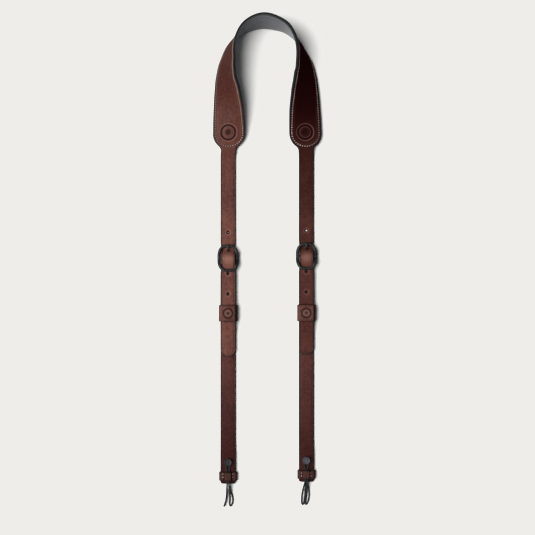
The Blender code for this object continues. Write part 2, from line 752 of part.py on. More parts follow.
CORD_ROUTES = {
    "left": (
        (-0.0008, 0.0030, 0.0060), (-0.0008, -0.0010, 0.0060), (-0.0009, -0.0050, 0.0060),
        (-0.0010, -0.0084, 0.0057), (-0.0012, -0.0118, 0.0048), (-0.0014, -0.0155, 0.0037),
        (-0.0016, -0.0195, 0.0029), (-0.0020, -0.0235, 0.0024), (-0.0027, -0.0270, 0.0023),
        (-0.0037, -0.0298, 0.0023), (-0.0043, -0.0315, 0.0019), (-0.0043, -0.0315, 0.0011),
        (-0.0037, -0.0298, 0.0007), (-0.0027, -0.0268, 0.0007), (-0.0020, -0.0233, 0.0007),
        (-0.0017, -0.0195, 0.0009), (-0.0015, -0.0155, 0.0017), (-0.0012, -0.0118, 0.0032),
        (-0.0010, -0.0084, 0.0043), (-0.0009, -0.0050, 0.0044), (-0.0008, 0.0000, 0.0044),
        (-0.0009, 0.0045, 0.0044), (-0.0014, 0.0078, 0.0044), (-0.0023, 0.0110, 0.0044),
        (-0.0028, 0.0140, 0.0044), (-0.0022, 0.0168, 0.0044), (0.0000, 0.0179, 0.0044),
        (0.0022, 0.0168, 0.0044), (0.0028, 0.0140, 0.0044), (0.0023, 0.0110, 0.0044),
        (0.0014, 0.0078, 0.0044), (0.0009, 0.0045, 0.0044), (0.0008, 0.0000, 0.0044),
        (0.0009, -0.0050, 0.0044), (0.0010, -0.0084, 0.0043), (0.0013, -0.0118, 0.0032),
        (0.0015, -0.0155, 0.0016), (0.0016, -0.0195, 0.0008), (0.0017, -0.0235, 0.0007),
        (0.0015, -0.0275, 0.0007), (0.0016, -0.0302, 0.0007), (0.0024, -0.0316, 0.0007),
        (0.0035, -0.0307, 0.0007), (0.0045, -0.0285, 0.0007), (0.0049, -0.0250, 0.0007),
        (0.0044, -0.0212, 0.0008), (0.0034, -0.0180, 0.0015), (0.0023, -0.0150, 0.0033),
        (0.0014, -0.0118, 0.0050), (0.0010, -0.0084, 0.0059), (0.0009, -0.0050, 0.0060),
        (0.0008, -0.0010, 0.0060), (0.0008, 0.0030, 0.0060),
    ),
    "right": (
        (-0.0008, 0.0030, 0.0060), (-0.0008, -0.0010, 0.0060), (-0.0010, -0.0050, 0.0060),
        (-0.0017, -0.0084, 0.0056), (-0.0026, -0.0118, 0.0042), (-0.0035, -0.0155, 0.0025),
        (-0.0043, -0.0195, 0.0011), (-0.0048, -0.0240, 0.0007), (-0.0050, -0.0280, 0.0007),
        (-0.0047, -0.0308, 0.0007), (-0.0038, -0.0320, 0.0007), (-0.0029, -0.0306, 0.0007),
        (-0.0023, -0.0275, 0.0007), (-0.0018, -0.0235, 0.0007), (-0.0014, -0.0195, 0.0007),
        (-0.0011, -0.0155, 0.0015), (-0.0009, -0.0118, 0.0031), (-0.0009, -0.0084, 0.0043),
        (-0.0009, -0.0050, 0.0044), (-0.0008, 0.0000, 0.0044), (-0.0009, 0.0045, 0.0044),
        (-0.0014, 0.0078, 0.0044), (-0.0023, 0.0110, 0.0044), (-0.0028, 0.0140, 0.0044),
        (-0.0022, 0.0168, 0.0044), (0.0000, 0.0179, 0.0044), (0.0022, 0.0168, 0.0044),
        (0.0028, 0.0140, 0.0044), (0.0023, 0.0110, 0.0044), (0.0014, 0.0078, 0.0044),
        (0.0009, 0.0045, 0.0044), (0.0008, 0.0000, 0.0044), (0.0009, -0.0050, 0.0044),
        (0.0012, -0.0084, 0.0043), (0.0018, -0.0118, 0.0031), (0.0024, -0.0155, 0.0015),
        (0.0028, -0.0195, 0.0007), (0.0027, -0.0240, 0.0007), (0.0019, -0.0280, 0.0007),
        (0.0006, -0.0308, 0.0007), (-0.0004, -0.0319, 0.0008), (-0.0011, -0.0309, 0.0011),
        (-0.0009, -0.0285, 0.0011), (-0.0003, -0.0245, 0.0008), (0.0001, -0.0200, 0.0012),
        (0.0003, -0.0155, 0.0029), (0.0006, -0.0118, 0.0048), (0.0008, -0.0084, 0.0059),
        (0.0009, -0.0050, 0.0060), (0.0008, -0.0010, 0.0060), (0.0008, 0.0030, 0.0060),
    ),
}


def build_cord(limb, material):
    route = Spline3(CORD_ROUTES[limb.name])
    origin = np.array((limb.x, limb.bar_y - BAR_TO_BAND, 0.0))
    curve = bpy.data.curves.new(f"cord_{limb.name}", "CURVE")
    curve.dimensions = "3D"
    curve.bevel_depth = CORD_DIAMETER / 2
    curve.bevel_resolution = 2
    curve.use_fill_caps = True
    spline = curve.splines.new("POLY")
    count = 58
    spline.points.add(count - 1)
    for i in range(count):
        point = origin + route.at(route.length * i / (count - 1))
        point[2] = max(point[2], CORD_DIAMETER / 2)
        spline.points[i].co = (*point, 1.0)
    return add_object(f"cord_{limb.name}", curve, material)


def centre_on_table(pieces, resting):
    # puts the middle of the resting pieces' box over the origin
    depsgraph = bpy.context.evaluated_depsgraph_get()
    corners = []
    for piece in resting:
        corners += [piece.matrix_world @ vertex.co for vertex in piece.evaluated_get(depsgraph).data.vertices]
    low = [min(corner[axis] for corner in corners) for axis in range(3)]
    high = [max(corner[axis] for corner in corners) for axis in range(3)]
    for piece in pieces:
        piece.location.x -= (low[0] + high[0]) / 2
        piece.location.y -= (low[1] + high[1]) / 2


def main():
    brown = make_material("leather_brown", (0.095, 0.035, 0.027), 0.5)
    grey = make_material("lining_grey", (0.075, 0.076, 0.085), 0.9)
    black = make_material("metal_black", (0.02, 0.021, 0.022), 0.35, 0.8)
    dark = make_material("stud_dark", (0.03, 0.031, 0.034), 0.55)
    cord = make_material("cord_black", (0.012, 0.012, 0.013), 0.8)
    limbs = [Limb(row) for row in table(LIMB_COLUMNS, LIMB_ROWS)]
    path = pad_path(limbs)
    resting = [build_strap_leather(limbs, path, brown), build_lining(limbs, path, grey)]
    cords = []
    for limb in limbs:
        resting.append(build_buckle(limb, black))
        resting.append(build_prong(limb, black))
        resting.append(build_lower_strap(limb, brown))
        resting.append(build_keeper(limb, brown))
        resting.append(build_end_band(limb, brown))
        resting.append(build_stud(limb, dark))
        cords.append(build_cord(limb, cord))
    bpy.context.view_layer.update()
    centre_on_table(list(bpy.data.objects), resting)


main()
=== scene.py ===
import math
import random
import bmesh
import bpy
import numpy as np
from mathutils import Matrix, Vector


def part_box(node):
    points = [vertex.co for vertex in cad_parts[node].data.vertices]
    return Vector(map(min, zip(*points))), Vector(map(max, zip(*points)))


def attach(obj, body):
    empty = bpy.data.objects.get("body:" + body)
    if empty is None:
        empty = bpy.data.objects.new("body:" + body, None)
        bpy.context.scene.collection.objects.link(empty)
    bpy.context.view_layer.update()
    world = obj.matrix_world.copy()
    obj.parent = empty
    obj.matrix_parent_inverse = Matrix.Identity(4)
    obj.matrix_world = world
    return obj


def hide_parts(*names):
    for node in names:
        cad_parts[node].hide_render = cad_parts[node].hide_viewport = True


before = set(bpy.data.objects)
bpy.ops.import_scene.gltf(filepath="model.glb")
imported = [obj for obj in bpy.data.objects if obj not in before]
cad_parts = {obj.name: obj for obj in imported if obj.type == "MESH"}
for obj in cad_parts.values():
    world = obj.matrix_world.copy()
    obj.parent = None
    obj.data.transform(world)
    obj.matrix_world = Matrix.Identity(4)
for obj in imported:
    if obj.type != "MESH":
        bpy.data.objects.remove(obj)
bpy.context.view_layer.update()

print("frame loaded")

# The strap's own sizes in metres, the same as its solids have.
strap = {
    "width": 0.016, "padWidth": 0.034, "leather": 0.0018, "lining": 0.0018, "gap": 0.0003,
    "liningInset": 0.0002, "liningEnd": 0.016, "fillet": 0.006, "tipLength": 0.0075,
    "limbOffset": 0.0413, "padInset": 0.0011, "apexShift": 0.0026, "archRise": 0.1133,
    "padToBar": 0.1307, "settle": 0.018,
}
buckle = {
    "innerWidth": 0.0165, "length": 0.028, "sideWire": 0.003, "endWire": 0.0025, "wireHeight": 0.0022,
    "squareness": 2.9, "pinch": 0.00055, "barRadius": 0.0011, "barLift": 0.0012, "topLift": 0.0005,
    "topSpace": 0.0017, "lowSpace": 0.0005, "prongWidth": 0.002, "prongHeight": 0.0014,
}
holes = {"radius": 0.0016, "pitch": 0.0215, "reach": 0.0056, "towardsPad": 1, "towardsTip": 2, "lastToTip": 0.0655}
lower = {
    "flap": 0.001, "flapLength": 0.027, "toKeeper": 0.0584, "toStud": 0.2135, "toBand": 0.2284,
    "beyondBand": 0.0032, "corner": 0.002,
}
fittings = {
    "keeperLength": 0.0172, "keeperWall": 0.0015, "bandLength": 0.0093, "bandWall": 0.0012, "cord": 0.0014,
    "headRadius": 0.004, "headHeight": 0.0016, "stemRadius": 0.0017, "baseRadius": 0.0034, "baseHeight": 0.0009,
}
# each limb: side, then its place and lengths as shares of the sizes above
limbRows = {
    "left": {"side": -1, "offset": 1.000, "padToBar": 1.000, "barToKeeper": 0.988},
    "right": {"side": 1, "offset": 0.987, "padToBar": 0.985, "barToKeeper": 1.014},
}
# the pad's outer edge on the table: shares across and along to the top of the arch, and the roll in degrees
archRows = {
    "left": (
        (0.000, 0.000, 5.0), (0.001, 0.126, 14.5), (0.008, 0.219, 22.5), (0.015, 0.312, 31.0),
        (0.027, 0.405, 39.5), (0.044, 0.498, 49.0), (0.067, 0.563, 54.5), (0.098, 0.630, 58.5),
        (0.146, 0.693, 62.8), (0.218, 0.776, 70.5), (0.337, 0.858, 79.7), (0.464, 0.912, 89.0),
        (0.638, 0.964, 97.5), (0.828, 0.993, 103.0),
    ),
    "right": (
        (0.000, 0.000, 4.0), (0.009, 0.126, 13.0), (0.021, 0.219, 20.0), (0.032, 0.312, 28.0),
        (0.050, 0.405, 35.5), (0.075, 0.498, 44.0), (0.100, 0.563, 50.3), (0.132, 0.630, 56.5),
        (0.185, 0.693, 62.2), (0.274, 0.774, 74.0), (0.371, 0.849, 82.5), (0.497, 0.914, 90.5),
        (0.643, 0.963, 97.0), (0.795, 0.986, 101.5),
    ),
}
apexRoll = 105.0

# what follows from the sizes
gap = strap["gap"]
thick = strap["leather"]
halfPad = strap["padWidth"] / 2
halfStrap = strap["width"] / 2
stack = thick + gap + strap["lining"]
sideMid = buckle["innerWidth"] / 2 + buckle["sideWire"] / 2
endMid = buckle["length"] / 2 - buckle["endWire"] / 2
bulgeReach = 0.7 * endMid
foldInner = buckle["barRadius"] + gap
barHeight = foldInner + lower["flap"] + buckle["barLift"]
bulgeHeight = barHeight + foldInner + thick + gap
tailOnFlap = lower["flap"] + gap + thick + gap
tailOnStrap = thick + gap
tailInKeeper = fittings["keeperWall"] + gap + thick + gap
bandLift = max(fittings["bandWall"], fittings["baseHeight"]) + gap
barToTip = holes["lastToTip"] + holes["towardsTip"] * holes["pitch"] - holes["reach"]
barToEnd = lower["toBand"] + fittings["bandLength"] / 2 + lower["beyondBand"]
topBarHeight = buckle["topLift"] + thick + buckle["topSpace"] + buckle["wireHeight"] / 2
lowBarHeight = tailOnFlap + thick + buckle["lowSpace"] + buckle["wireHeight"] / 2
tunnelWidth = 2 * fittings["cord"] + 3 * gap
tunnelHeight = 2 * fittings["cord"] + 2 * gap


def smooth(share):
    share = min(max(share, 0.0), 1.0)
    return 0.5 - 0.5 * math.cos(math.pi * share)


def smoothHeights(stations, at):
    if at <= stations[0][0]:
        return stations[0][1]
    for (start, low), (end, high) in zip(stations, stations[1:]):
        if at <= end:
            return low + (high - low) * smooth((at - start) / (end - start))
    return stations[-1][1]


def unit(vector):
    return vector / np.linalg.norm(vector)


class Curve:
    # natural cubic through points, by chord length over the first `lead` coordinates
    def __init__(self, points, lead=2):
        self.points = np.array(points, dtype=float)
        chords = np.linalg.norm(np.diff(self.points[:, :lead], axis=0), axis=1)
        self.knots = np.concatenate(([0.0], np.cumsum(chords)))
        self.length = self.knots[-1]
        self.lead = lead
        count = len(self.points)
        matrix = np.eye(count)
        right = np.zeros_like(self.points)
        for i in range(1, count - 1):
            before = self.knots[i] - self.knots[i - 1]
            after = self.knots[i + 1] - self.knots[i]
            matrix[i, i - 1:i + 2] = before, 2 * (before + after), after
            riseAfter = (self.points[i + 1] - self.points[i]) / after
            riseBefore = (self.points[i] - self.points[i - 1]) / before
            right[i] = 6 * (riseAfter - riseBefore)
        self.bends = np.linalg.solve(matrix, right)

    def at(self, place):
        place = min(max(place, 0.0), self.length)
        i = min(int(np.searchsorted(self.knots, place, side="right")) - 1, len(self.knots) - 2)
        step = self.knots[i + 1] - self.knots[i]
        b = (place - self.knots[i]) / step
        a = 1 - b
        bend = (a ** 3 - a) * self.bends[i] + (b ** 3 - b) * self.bends[i + 1]
        return a * self.points[i] + b * self.points[i + 1] + bend * step * step / 6

    def direction(self, place):
        step = self.length * 1e-3
        ahead = self.at(place + step) - self.at(place - step)
        return ahead / np.linalg.norm(ahead[:self.lead])


class Limb:
    # one side of the strap as it lies, from the pad's round end down to the free end
    def __init__(self, name):
        row = limbRows[name]
        self.name = name
        self.side = row["side"]
        self.x = self.side * strap["limbOffset"] * row["offset"]
        self.inward = np.array((-float(self.side), 0.0, 0.0))
        self.padToBar = strap["padToBar"] * row["padToBar"]
        self.barY = -self.padToBar
        self.barToKeeper = lower["toKeeper"] * row["barToKeeper"]
        self.arch = archRows[name]
        self.footX = self.x + self.side * (halfPad - strap["padInset"])
        self.footRoll = math.radians(self.arch[0][2])
        halfKeeper = fittings["keeperLength"] / 2
        width = strap["width"]
        self.tailStations = [
            (-self.barToKeeper - halfKeeper - 0.9 * width, tailOnStrap),
            (-self.barToKeeper - halfKeeper, tailInKeeper),
            (-self.barToKeeper + halfKeeper, tailInKeeper),
            (-lower["flapLength"] - 0.2 * width, max(tailOnFlap, tailOnStrap)),
            (-bulgeReach, tailOnFlap),
            (0.0, bulgeHeight),
            (bulgeReach, buckle["topLift"]),
            (endMid, buckle["topLift"]),
            (endMid + width, 0.0),
        ]
        self.endStations = [
            (-lower["toStud"] + fittings["baseRadius"] + 2 * gap, bandLift),
            (-lower["toStud"] + 1.6 * width, 0.0),
        ]

    def archPoints(self):
        points = []
        for across, along, roll in self.arch:
            x = self.footX + (-strap["apexShift"] - self.footX) * across
            points.append((x, strap["archRise"] * along, roll))
        return points

    def tailHeight(self, aboveBar):
        return smoothHeights(self.tailStations, aboveBar)

    def lowerHeight(self, aboveBar):
        if aboveBar < -barToTip - strap["tipLength"]:
            return smoothHeights(self.endStations, aboveBar)
        step = 0.0002
        slope = (self.tailHeight(aboveBar + step) - self.tailHeight(aboveBar - step)) / (2 * step)
        return max(self.tailHeight(aboveBar) - gap - thick * math.sqrt(1 + slope ** 2), 0.0)

    def underside(self, down):
        roll = self.footRoll * (1 - min(down / strap["settle"], 1)) ** 2
        onLining = (gap + strap["lining"]) * (1 - smooth((down - strap["liningEnd"]) / (0.75 * strap["width"])))
        height = onLining * math.cos(roll) + halfPad * math.sin(roll) + self.tailHeight(self.padToBar - down)
        centreX = self.footX - self.side * halfPad * math.cos(self.footRoll)
        x = centreX + (self.x - centreX) * smooth(down / (1.5 * strap["settle"]))
        across = self.inward * math.cos(roll) + np.array((0.0, 0.0, math.sin(roll)))
        return np.array((x, -down, height)), across

    def upperFrame(self, down):
        # middle of the outer face, the way across it and its outward normal
        step = 0.0003
        middle, across = self.underside(down)
        below = self.underside(down + step)[0]
        above = self.underside(max(down - step, 0.0))[0]
        normal = unit(np.cross(across, unit(above - below))) * (-self.side)
        if normal[2] < 0:
            normal = -normal
        return middle + normal * thick, across, normal


def padEndHalf(down):
    # half width from the pad's round end through the hollow fillet to the strap
    reach = halfPad + strap["fillet"]
    filletX = halfStrap + strap["fillet"]
    filletDown = math.sqrt(reach ** 2 - filletX ** 2)
    if down <= 0:
        return halfPad
    if down <= filletDown * halfPad / reach:
        return math.sqrt(halfPad ** 2 - down ** 2)
    if down <= filletDown:
        return filletX - math.sqrt(strap["fillet"] ** 2 - (filletDown - down) ** 2)
    return halfStrap


def pinch(aboveBar):
    return buckle["pinch"] * (1 - smooth((abs(aboveBar) - bulgeReach) / bulgeReach))


def upperHalf(limb, down):
    toTip = limb.padToBar + barToTip - down
    if toTip < strap["tipLength"]:
        share = 1 - min(max(toTip, 0.0) / strap["tipLength"], 1.0)
        return halfStrap * max(math.sqrt(1 - share ** 2), 0.06)
    return padEndHalf(down) - pinch(limb.padToBar - down)


limbs = [Limb("left"), Limb("right")]
leftLimb, rightLimb = limbs
archPath = Curve(leftLimb.archPoints() + [(-strap["apexShift"], strap["archRise"], apexRoll)]
                 + list(reversed(rightLimb.archPoints())))


def padFrame(place):
    x, y, roll = archPath.at(place)
    heading = unit(archPath.direction(place)[:2])
    roll = math.radians(roll)
    along = np.array((heading[0], heading[1], 0.0))
    across = np.array((heading[1], -heading[0], 0.0)) * math.cos(roll) + np.array((0.0, 0.0, math.sin(roll)))
    edge = np.array((x, y, stack * max(math.cos(roll), 0.0)))
    return edge + across * halfPad, across, np.cross(across, along)


# where the sizes above put the strap, against where the frame has it
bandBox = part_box("end_band_left")
shift = np.array([
    (bandBox[0][0] + bandBox[1][0]) / 2 - leftLimb.x,
    (bandBox[0][1] + bandBox[1][1]) / 2 - (leftLimb.barY - lower["toBand"]),
    0.0,
])
print("strap laid out, shift", [round(float(v), 5) for v in shift])


# Shader writing

class Signal:
    # a node's output or a number, with the sums that the materials use
    def __init__(self, tree, socket):
        self.tree = tree
        self.socket = socket

    def math(self, operation, one, two=None):
        values = {0: one} if two is None else {0: one, 1: two}
        return addNode(self.tree, "ShaderNodeMath", {"operation": operation}, values)

    def __add__(self, other):
        return self.math("ADD", self, other)

    def __radd__(self, other):
        return self.math("ADD", other, self)

    def __sub__(self, other):
        return self.math("SUBTRACT", self, other)

    def __rsub__(self, other):
        return self.math("SUBTRACT", other, self)

    def __mul__(self, other):
        return self.math("MULTIPLY", self, other)

    def __rmul__(self, other):
        return self.math("MULTIPLY", other, self)

    def __truediv__(self, other):
        return self.math("DIVIDE", self, other)

    def sine(self):
        return self.math("SINE", self)


def addNode(tree, kind, settings, values, out=0):
    # settings first, then each socket's value or link
    node = tree.nodes.new(kind)
    for name, value in settings.items():
        if name == "stops":
            ramp = node.color_ramp
            while len(ramp.elements) < len(value):
                ramp.elements.new(0.5)
            for element, (position, colour) in zip(ramp.elements, value):
                element.position = position
                element.color = (*colour, 1.0)
        else:
            setattr(node, name, value)
    for name, value in values.items():
        if isinstance(value, Signal):
            tree.links.new(value.socket, node.inputs[name])
        else:
            node.inputs[name].default_value = value
    return Signal(tree, node.outputs[out])


def noise(tree, where, scale, detail=4.0, roughness=0.55):
    values = {"Vector": where, "Scale": scale, "Detail": detail, "Roughness": roughness}
    return addNode(tree, "ShaderNodeTexNoise", {}, values)


def blend(tree, factor, one, two):
    # a colour between two others
    values = {0: factor}
    for socket, colour in ((6, one), (7, two)):
        values[socket] = colour if isinstance(colour, Signal) else (*colour, 1.0)
    return addNode(tree, "ShaderNodeMix", {"data_type": "RGBA"}, values, out=2)


def attribute(tree, name):
    # a number that the mesh carries at each point
    return addNode(tree, "ShaderNodeAttribute", {"attribute_name": name}, {}, out=2)


def rise(tree, value, start, end):
    # 0 below start, 1 above end, smooth between
    values = {"Value": value, "From Min": start, "From Max": end}
    return addNode(tree, "ShaderNodeMapRange", {"interpolation_type": "SMOOTHSTEP"}, values)


def newMaterial(name):
    material = bpy.data.materials.new(name)
    material.use_nodes = True
    tree = material.node_tree
    shader = tree.nodes["Principled BSDF"]
    return material, tree, shader


def feed(tree, shader, **inputs):
    names = {"colour": "Base Color", "roughness": "Roughness", "normal": "Normal", "coat": "Coat Weight"}
    for key, value in inputs.items():
        socket = shader.inputs[names[key]]
        if isinstance(value, Signal):
            tree.links.new(value.socket, socket)
        else:
            socket.default_value = value


def place(tree, stretch=(1.0, 1.0, 1.0)):
    # where a point is in the strap's own frame, stretched along each axis
    where = addNode(tree, "ShaderNodeTexCoord", {}, {}, out=3)
    return addNode(tree, "ShaderNodeVectorMath", {"operation": "MULTIPLY"}, {0: where, 1: stretch})


def makeLeather(name, colours, roughness=0.62, polish=0.3):
    # brown hide: cloudy colour, fine pebbled grain, pores, darker creases with painted shade, painted edge, pale wear
    # with painted highlights
    material, tree, shader = newMaterial(name)
    where = place(tree)
    clouds = noise(tree, where, 26.0, 5.0, 0.6)
    mottle = noise(tree, where, 330.0, 4.0, 0.6)
    grainNoise = noise(tree, where, 1400.0, 3.0, 0.65)
    cells = addNode(tree, "ShaderNodeTexVoronoi", {"feature": "F1"}, {"Vector": where, "Scale": 1250.0})
    streaks = noise(tree, place(tree, (4.0, 0.5, 1.0)), 120.0, 4.0, 0.6)
    tone = clouds * 0.4 + mottle * 0.42 + streaks * 0.18
    acrossHide = addNode(tree, "ShaderNodeSeparateXYZ", {}, {0: where}, out=0)
    alongHide = addNode(tree, "ShaderNodeSeparateXYZ", {}, {0: where}, out=1)
    colour = blend(tree, rise(tree, tone, 0.37, 0.62), colours["deep"], colours["base"])
    colour = blend(tree, rise(tree, grainNoise, 0.45, 0.75) * 0.35, colour, colours["light"])
    # pale where rubbed, and painted highlights on stamp rims, hole rims, the bulge over the bar and the tips
    colour = blend(tree, attribute(tree, "wear") * 0.85, colour, colours["wornAndHighlight"])
    # darker along the strap one way, and painted shade on the right limb, both held back on the worn and highlighted
    # places
    start, end, along, side = colours["darkenAndShade"]
    darkenedAndShaded = rise(tree, alongHide, start, end) * along + rise(tree, acrossHide, -0.02, 0.03) * side
    darkenedAndShaded = darkenedAndShaded * (1.0 - attribute(tree, "wear") * 0.7)
    colour = blend(tree, darkenedAndShaded, colour, (0.0125, 0.0021, 0.0023))
    # the dark mask: creases, pressed grooves, and painted shade next to hardware, round the tail's tip and on the
    # keeper's right side
    colour = blend(tree, attribute(tree, "dark") * 0.93, colour, colours["crease"])
    paint = attribute(tree, "paint")
    colour = blend(tree, paint, colour, colours["edge"])
    gloss = (mottle - 0.5) * 0.25 + (grainNoise - 0.5) * 0.2 + roughness
    gloss = gloss + attribute(tree, "dark") * 0.12 - attribute(tree, "wear") * 0.06 - paint * 0.08
    height = cells * 0.45 + grainNoise * 0.4 + mottle * 0.5
    height = height * (1.0 - paint * 0.75)
    bump = addNode(tree, "ShaderNodeBump", {}, {"Strength": 0.55, "Distance": 0.00022, "Height": height})
    feed(tree, shader, colour=colour, roughness=gloss, normal=bump, coat=(1.0 - darkenedAndShaded) * polish)
    shader.inputs["Specular IOR Level"].default_value = 0.0
    shader.inputs["Coat Roughness"].default_value = 0.42
    shader.inputs["Coat IOR"].default_value = 1.35
    return material


def makeHoleShade():
    # the wall of a punched hole, near-black as painted shade, with the bump of raw fibres
    material, tree, shader = newMaterial("hide_core")
    fibres = noise(tree, place(tree, (1.0, 1.0, 3.0)), 900.0, 5.0, 0.7)
    colour = blend(tree, rise(tree, fibres, 0.35, 0.7), (0.003, 0.001, 0.001), (0.010, 0.004, 0.003))
    bump = addNode(tree, "ShaderNodeBump", {}, {"Strength": 0.6, "Distance": 0.0002, "Height": fibres})
    feed(tree, shader, colour=colour, roughness=0.85, normal=bump)
    return material


def makeSuede():
    # grey lining with a short brushed nap, with painted shade towards the right; its rim is painted with the leather's
    # edge and carries a painted highlight
    material, tree, shader = newMaterial("brushed_lining")
    where = place(tree)
    nap = noise(tree, where, 1500.0, 5.0, 0.75)
    brushed = noise(tree, place(tree, (1.0, 2.2, 1.0)), 170.0, 4.0, 0.6)
    broad = noise(tree, where, 34.0, 3.0, 0.5)
    tone = nap * 0.4 + brushed * 0.35 + broad * 0.25
    colour = blend(tree, rise(tree, tone, 0.34, 0.66), (0.041, 0.043, 0.052), (0.092, 0.095, 0.110))
    sideways = addNode(tree, "ShaderNodeSeparateXYZ", {}, {0: where}, out=0)
    # painted shade on the lining's right side
    colour = blend(tree, rise(tree, sideways, -0.004, 0.026) * 0.45, colour, (0.021, 0.022, 0.026))
    colour = blend(tree, attribute(tree, "dark"), colour, (0.018, 0.018, 0.022))
    colour = blend(tree, attribute(tree, "paint"), colour, (0.012, 0.013, 0.014))
    # the painted highlight along the lining's rim
    colour = blend(tree, attribute(tree, "wear") * 0.7, colour, (0.26, 0.26, 0.265))
    bump = addNode(tree, "ShaderNodeBump", {}, {"Strength": 0.7, "Distance": 0.00025, "Height": nap + brushed})
    feed(tree, shader, colour=colour, roughness=0.95 - brushed * 0.08, normal=bump)
    shader.inputs["Sheen Weight"].default_value = 0.25
    shader.inputs["Sheen Roughness"].default_value = 0.5
    shader.inputs["Specular IOR Level"].default_value = 0.2
    return material


def makePaintedMetal(name, deep, base, roughness):
    # satin coat over cast metal, faintly uneven, with slight wear
    material, tree, shader = newMaterial(name)
    where = place(tree)
    skin = noise(tree, where, 700.0, 3.0, 0.5)
    broad = noise(tree, where, 90.0, 4.0, 0.6)
    colour = blend(tree, rise(tree, broad, 0.35, 0.7), deep, base)
    bump = addNode(tree, "ShaderNodeBump", {}, {"Strength": 0.25, "Distance": 0.00008, "Height": skin})
    feed(tree, shader, colour=colour, roughness=(broad - 0.5) * 0.2 + (skin - 0.5) * 0.1 + roughness, normal=bump)
    shader.inputs["Specular IOR Level"].default_value = 0.22
    return material


def makeThread(name, deep, base, outerDarkness):
    # waxed linen, twisted; darker towards the strap's outer sides
    material, tree, shader = newMaterial(name)
    where = place(tree)
    fibre = noise(tree, where, 2400.0, 3.0, 0.6)
    soilAndShade = noise(tree, where, 160.0, 3.0, 0.6)
    tone = fibre * 0.5 + soilAndShade * 0.5
    colour = blend(tree, rise(tree, tone, 0.35, 0.68), deep, base)
    sideways = addNode(tree, "ShaderNodeSeparateXYZ", {}, {0: where}, out=0)
    outer = rise(tree, sideways * sideways, 0.030 ** 2, 0.054 ** 2)
    colour = blend(tree, outer * outerDarkness, colour, (0.060, 0.026, 0.020))
    bump = addNode(tree, "ShaderNodeBump", {}, {"Strength": 0.5, "Distance": 0.00008, "Height": fibre})
    feed(tree, shader, colour=colour, roughness=0.7 + fibre * 0.15, normal=bump)
    return material


def makeBraid():
    # black braided cord: two sets of strands crossing, read from the tube's own coordinates
    material, tree, shader = newMaterial("black_braid")
    along = addNode(tree, "ShaderNodeUVMap", {"uv_map": "UVMap"}, {})
    lengthwise = addNode(tree, "ShaderNodeSeparateXYZ", {}, {0: along}, out=0) * 2600.0
    around = addNode(tree, "ShaderNodeSeparateXYZ", {}, {0: along}, out=1) * (6 * 2 * math.pi)
    oneWay = (lengthwise + around).sine()
    otherWay = (lengthwise - around).sine()
    weave = addNode(tree, "ShaderNodeMath", {"operation": "MAXIMUM"}, {0: oneWay, 1: otherWay})
    fuzz = noise(tree, place(tree), 2600.0, 3.0, 0.7)
    colour = blend(tree, rise(tree, weave + fuzz * 0.6, 0.1, 1.4), (0.0055, 0.0065, 0.0075), (0.012, 0.014, 0.016))
    bump = addNode(tree, "ShaderNodeBump", {}, {"Strength": 0.25, "Distance": 0.0001, "Height": weave + fuzz * 0.5})
    feed(tree, shader, colour=colour, roughness=0.75 + fuzz * 0.1, normal=bump)
    shader.inputs["Specular IOR Level"].default_value = 0.25
    return material


browns = {
    "padLeather": {
        "deep": (0.061, 0.0170, 0.0122), "base": (0.126, 0.0430, 0.0305), "light": (0.195, 0.084, 0.062),
        "darkenAndShade": (-0.03, 0.27, 0.71, 0.55),
        "wornAndHighlight": (0.270, 0.128, 0.098), "crease": (0.010, 0.003, 0.003), "edge": (0.010, 0.012, 0.013),
    },
    "lowerLeather": {
        "deep": (0.032, 0.0068, 0.0054), "base": (0.069, 0.0185, 0.0148), "light": (0.115, 0.044, 0.035),
        "darkenAndShade": (-0.12, -0.22, 0.60, -0.04),
        "wornAndHighlight": (0.160, 0.070, 0.056), "crease": (0.008, 0.002, 0.002), "edge": (0.010, 0.006, 0.006),
    },
    "keeperLeather": {
        "deep": (0.048, 0.014, 0.010), "base": (0.108, 0.038, 0.028), "light": (0.160, 0.075, 0.058),
        "darkenAndShade": (-0.03, 0.16, 0.0, 0.05),
        "wornAndHighlight": (0.230, 0.120, 0.096), "crease": (0.008, 0.003, 0.002), "edge": (0.006, 0.002, 0.002),
    },
    "bandLeather": {
        "deep": (0.022, 0.0045, 0.0038), "base": (0.056, 0.0145, 0.0112), "light": (0.108, 0.037, 0.030),
        "darkenAndShade": (-0.03, 0.16, 0.0, -0.2),
        "wornAndHighlight": (0.150, 0.065, 0.052), "crease": (0.008, 0.003, 0.002), "edge": (0.010, 0.004, 0.004),
    },
}
finishes = {name: makeLeather(name, colours) for name, colours in browns.items()}
finishes["core"] = makeHoleShade()
finishes["suede"] = makeSuede()
finishes["frame"] = makePaintedMetal("black_frame", (0.005, 0.005, 0.0055), (0.014, 0.014, 0.015), 0.44)
# the left stud is a darker copy of the right one's grey: painted shade
finishes["studLeft"] = makePaintedMetal("shaded_stud", (0.006, 0.0065, 0.007), (0.018, 0.019, 0.020), 0.55)
finishes["studRight"] = makePaintedMetal("grey_stud", (0.022, 0.023, 0.026), (0.048, 0.050, 0.057), 0.5)
finishes["thread"] = makeThread("waxed_thread", (0.38, 0.215, 0.175), (0.84, 0.60, 0.51), 0.62)
finishes["palerThread"] = makeThread("lining_thread", (0.15, 0.152, 0.165), (0.34, 0.345, 0.365), 0.3)
finishes["bandThread"] = makeThread("band_thread", (0.34, 0.20, 0.165), (0.72, 0.53, 0.46), 0.0)
finishes["braid"] = makeBraid()
print("materials made:", len(finishes))


# Meshes: rows of points joined in order, each point with its masks

maskNames = ("paint", "dark", "wear")


